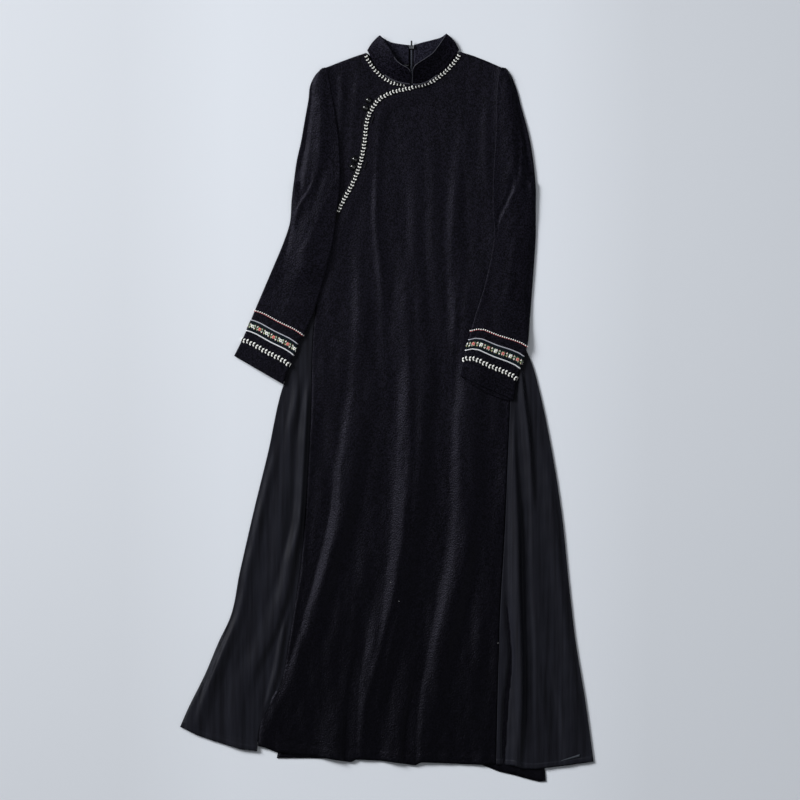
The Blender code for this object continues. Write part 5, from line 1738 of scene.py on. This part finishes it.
def make_knot(name, x, y, base):
    """A bead: a ball that is a little flattened."""
    rings, around = 20, 28
    a = np.linspace(0, np.pi, rings + 1)[:, None]
    b = np.linspace(0, 2 * np.pi, around, endpoint=False)[None, :]
    points = np.stack(np.broadcast_arrays(
        x + KNOT / 2 * np.sin(a) * np.cos(b), y + KNOT / 2 * np.sin(a) * np.sin(b),
        base + KNOT_HEIGHT / 2 + KNOT_HEIGHT / 2 * np.cos(a),
    ), axis=-1)
    item = grid_object(name, points, BEAD_LOOK, flip=True, closed=True)
    item.modifiers.new("Weld", "WELD").merge_threshold = 0.00001
    return item


def make_frogs():
    base = YOKE_LEVEL + WOOL + SEAM
    for place, frog in FROGS.items():
        for number, (x, y) in enumerate(frog["knots"], 1):
            bead = make_knot(f"bead_{place}_{number}", x, y, base)
            stands(bead, f"frog_{place}_knot_{number}")
            turns = np.radians(frog["opens"] + np.linspace(*LOOP_TURNS, 40))
            path = np.column_stack([
                x + LOOP_RADIUS * np.cos(turns), y + LOOP_RADIUS * np.sin(turns),
                base + CORD / 2 + 0 * turns,
            ])
            loop = cord(f"loop_{place}_{number}", path, CORD / 2, CORD_LOOK, 10)
            stands(loop, f"frog_{place}_loop_{number}")
        x, y = frog["tail"]
        steps = np.linspace(-TAIL_REACH, TAIL_REACH, 24)
        tx, ty = x + TAIL_LEAN * steps, y + steps
        tz = front_underside(tx, ty) + WOOL + 0.4 + CORD / 2
        tail = cord(f"tail_{place}", np.column_stack([tx, ty, tz]), CORD / 2, CORD_LOOK, 10)
        stands(tail, f"frog_{place}_tail")


# The zip's tape past its opening on each side, its level and its wall, and the coil's teeth:
# their length, width, height, and spacing, and how far each side's lie from the middle
TAPE_SPARE, TAPE_LEVEL, TAPE_WALL = 2.4, 0.3, 0.25
TOOTH, TOOTH_STEP, TOOTH_REACH, TOOTH_SHIFT = (2.6, 1.1, 0.8), 1.5, 0.7, 0.37


def make_zip():
    half = ZIP_WIDTH / 2 + TAPE_SPARE
    y = np.linspace(ZIP_END, ZIP_TOP, 120)
    x = np.linspace(-half, half, 9)
    points = np.array([[(CENTRE_X + a, b, TAPE_LEVEL) for a in x] for b in y])
    tape = thicken(grid_object("zip_tape", points, TAPE_LOOK), TAPE_WALL, -1)
    stands(tape, "zip_chain")
    heap = Heap()
    tooth, faces = petal(*TOOTH, 6)
    for step in np.arange(ZIP_END + 3, ZIP_TOP - 8, TOOTH_STEP):
        for side in (-1, 1):
            place = np.array([CENTRE_X - side * TOOTH_REACH, step + side * TOOTH_SHIFT, 0.32])
            forward = np.array([side * 1.0, 0.15, 0])
            heap.put(set_at(tooth, place, forward, np.array([0, 0, 1.0])), faces, COIL_LOOK)
    stands(heap.made("zip_coil"))


# Loose specks of thread on the front, as x and y
SPECKS = ((7.98, -329.65), (23.18, -365.75), (211.28, -445.55))


def make_lint():
    heap = Heap()
    speck, faces = ball(0.7, 0.4, 6, 2)
    for x, y in SPECKS:
        z = float(front_top_level(np.array([x]), np.array([y]))[0])
        heap.put(speck + (x, y, z - 0.05), faces, LINT_LOOK)
    stands(heap.made("lint"))


# ---------------------------------------------------------------- stage

# The floor's colour, a little paler in a band under the dress as a painted pool of light: its reach and its
# colours
LIGHT_POOL_BAND = (0.30, 0.50)
FLOOR_LIGHT_POOL, FLOOR_PLAIN = (0.785, 0.815, 0.868), (0.72, 0.745, 0.79)


FLOOR_HALF, FLOOR_DROP = 6.0, 0.0005

# What the camera frames, from how high, and the middle of the frame
VIEW_ACROSS, VIEW_HEIGHT, VIEW_CENTRE = 1.52, 9.0, (0.0251, 0.0162)
SENSOR = 36.0

# Lights: kind, place, what each points at, power, colour, and its own settings
LIGHTS = {
    "window": ("SUN", (-4.0, 2.8, 2.6), (0, 0, 0), 2.75, (0.96, 0.98, 1.0), {"angle": math.radians(20)}),
    "side_wall": ("AREA", (-3.2, 1.9, 2.0), (-0.2, 0.1, 0), 90, (0.98, 0.99, 1.0), {"size": 2.0}),
    "far_wall": ("SUN", (3.6, -1.6, 2.4), (0, 0, 0), 0.38, (0.96, 0.98, 1.0), {"angle": math.radians(60)}),
    "softbox": ("AREA", (0.0, 0.42, 1.3), (0.0, 0.40, 0), 2.1, (0.97, 0.98, 1.0),
                {"shape": "RECTANGLE", "size": 1.1, "size_y": 0.6}),
}
WORLD_COLOUR, WORLD_STRENGTH = (0.92, 0.96, 1.0, 1.0), 0.085


def place_in_scene(name, data, location=(0, 0, 0)):
    item = bpy.data.objects.new(name, data)
    bpy.context.scene.collection.objects.link(item)
    item.location = location
    return item


def make_floor():
    corners = [(x * FLOOR_HALF, y * FLOOR_HALF, 0) for x, y in ((-1, -1), (1, -1), (1, 1), (-1, 1))]
    data = bpy.data.meshes.new("floor")
    data.from_pydata(corners, [], [(0, 1, 2, 3)])
    floor = place_in_scene("floor", data, (0, 0, -FLOOR_DROP))
    made, tree, shader = material("floor_paint_and_painted_light", FLOOR_PLAIN, 0.9, Specular_IOR_Level=0.1)
    split = tree.nodes.new("ShaderNodeSeparateXYZ")
    tree.links.new(places(tree).outputs[0], split.inputs[0])
    aside = tree.nodes.new("ShaderNodeMath")
    aside.operation = "ABSOLUTE"
    tree.links.new(split.outputs["X"], aside.inputs[0])
    # Painted light: a pool of light painted on the floor, paler in the band under the dress
    tint = ramp(tree, aside, "Value", tuple(zip(LIGHT_POOL_BAND, (FLOOR_LIGHT_POOL, FLOOR_PLAIN))))
    tree.links.new(tint.outputs["Color"], shader.inputs["Base Color"])
    data.materials.append(made)


def make_lights():
    for name, (kind, place, target, power, colour, settings) in LIGHTS.items():
        lamp = bpy.data.lights.new(name, kind)
        lamp.energy, lamp.color = power, colour
        for key, value in settings.items():
            setattr(lamp, key, value)
        ahead = Vector(target) - Vector(place)
        place_in_scene(name, lamp, place).rotation_euler = ahead.to_track_quat("-Z", "Y").to_euler()
    world = bpy.data.worlds.new("studio")
    world.use_nodes = True
    background = world.node_tree.nodes["Background"]
    background.inputs["Color"].default_value = WORLD_COLOUR
    background.inputs["Strength"].default_value = WORLD_STRENGTH
    bpy.context.scene.world = world


def make_camera():
    """A camera that looks straight down on the dress."""
    camera = place_in_scene("camera", bpy.data.cameras.new("camera"), (*VIEW_CENTRE, VIEW_HEIGHT))
    camera.data.sensor_width = SENSOR
    camera.data.lens = SENSOR * VIEW_HEIGHT / VIEW_ACROSS
    camera.data.clip_end = 50
    scene = bpy.context.scene
    scene.camera = camera
    scene.view_settings.view_transform = "Standard"
    scene.view_settings.look = "None"


# ---------------------------------------------------------------- everything

front = make_front()
yoke = make_yoke()
rear_left = make_back("left", BACK_SIDE_LEFT, SIDE_LEFT, ARMHOLE_LEFT, SHOULDER_LEFT, -1)
rear_right = make_back("right", BACK_SIDE_RIGHT, SIDE_RIGHT, ARMHOLE_RIGHT, SHOULDER_RIGHT, 1)
sleeves = make_sleeves()
panels = [make_side_panel(name, *panel) for name, panel in PANELS.items()]
collars = [make_collar("left", COLLAR_LEFT), make_collar("right", COLLAR_RIGHT)]
braids = make_braids()
make_frogs()
make_zip()
make_lint()
for part, look in (("zip_slider", METAL_LOOK), ("zip_pull", DARK_METAL_LOOK)):
    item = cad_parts[part]
    item.data.materials.clear()
    item.data.materials.append(look)


def declare(item, trims=()):
    """Makes a list of a cloth piece's trims, and does nothing more with the piece or the trims."""
    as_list(trims)


declare(front, braids)
declare(yoke)
declare(rear_left)
declare(rear_right)
for (sleeve, trims), below in zip(sleeves, (rear_left, rear_right)):
    declare(sleeve, trims)
for panel, trims in panels:
    declare(panel, trims)
for (stand, trims), below in zip(collars, (rear_left, rear_right)):
    declare(stand, trims)

make_floor()
make_lights()
make_camera()
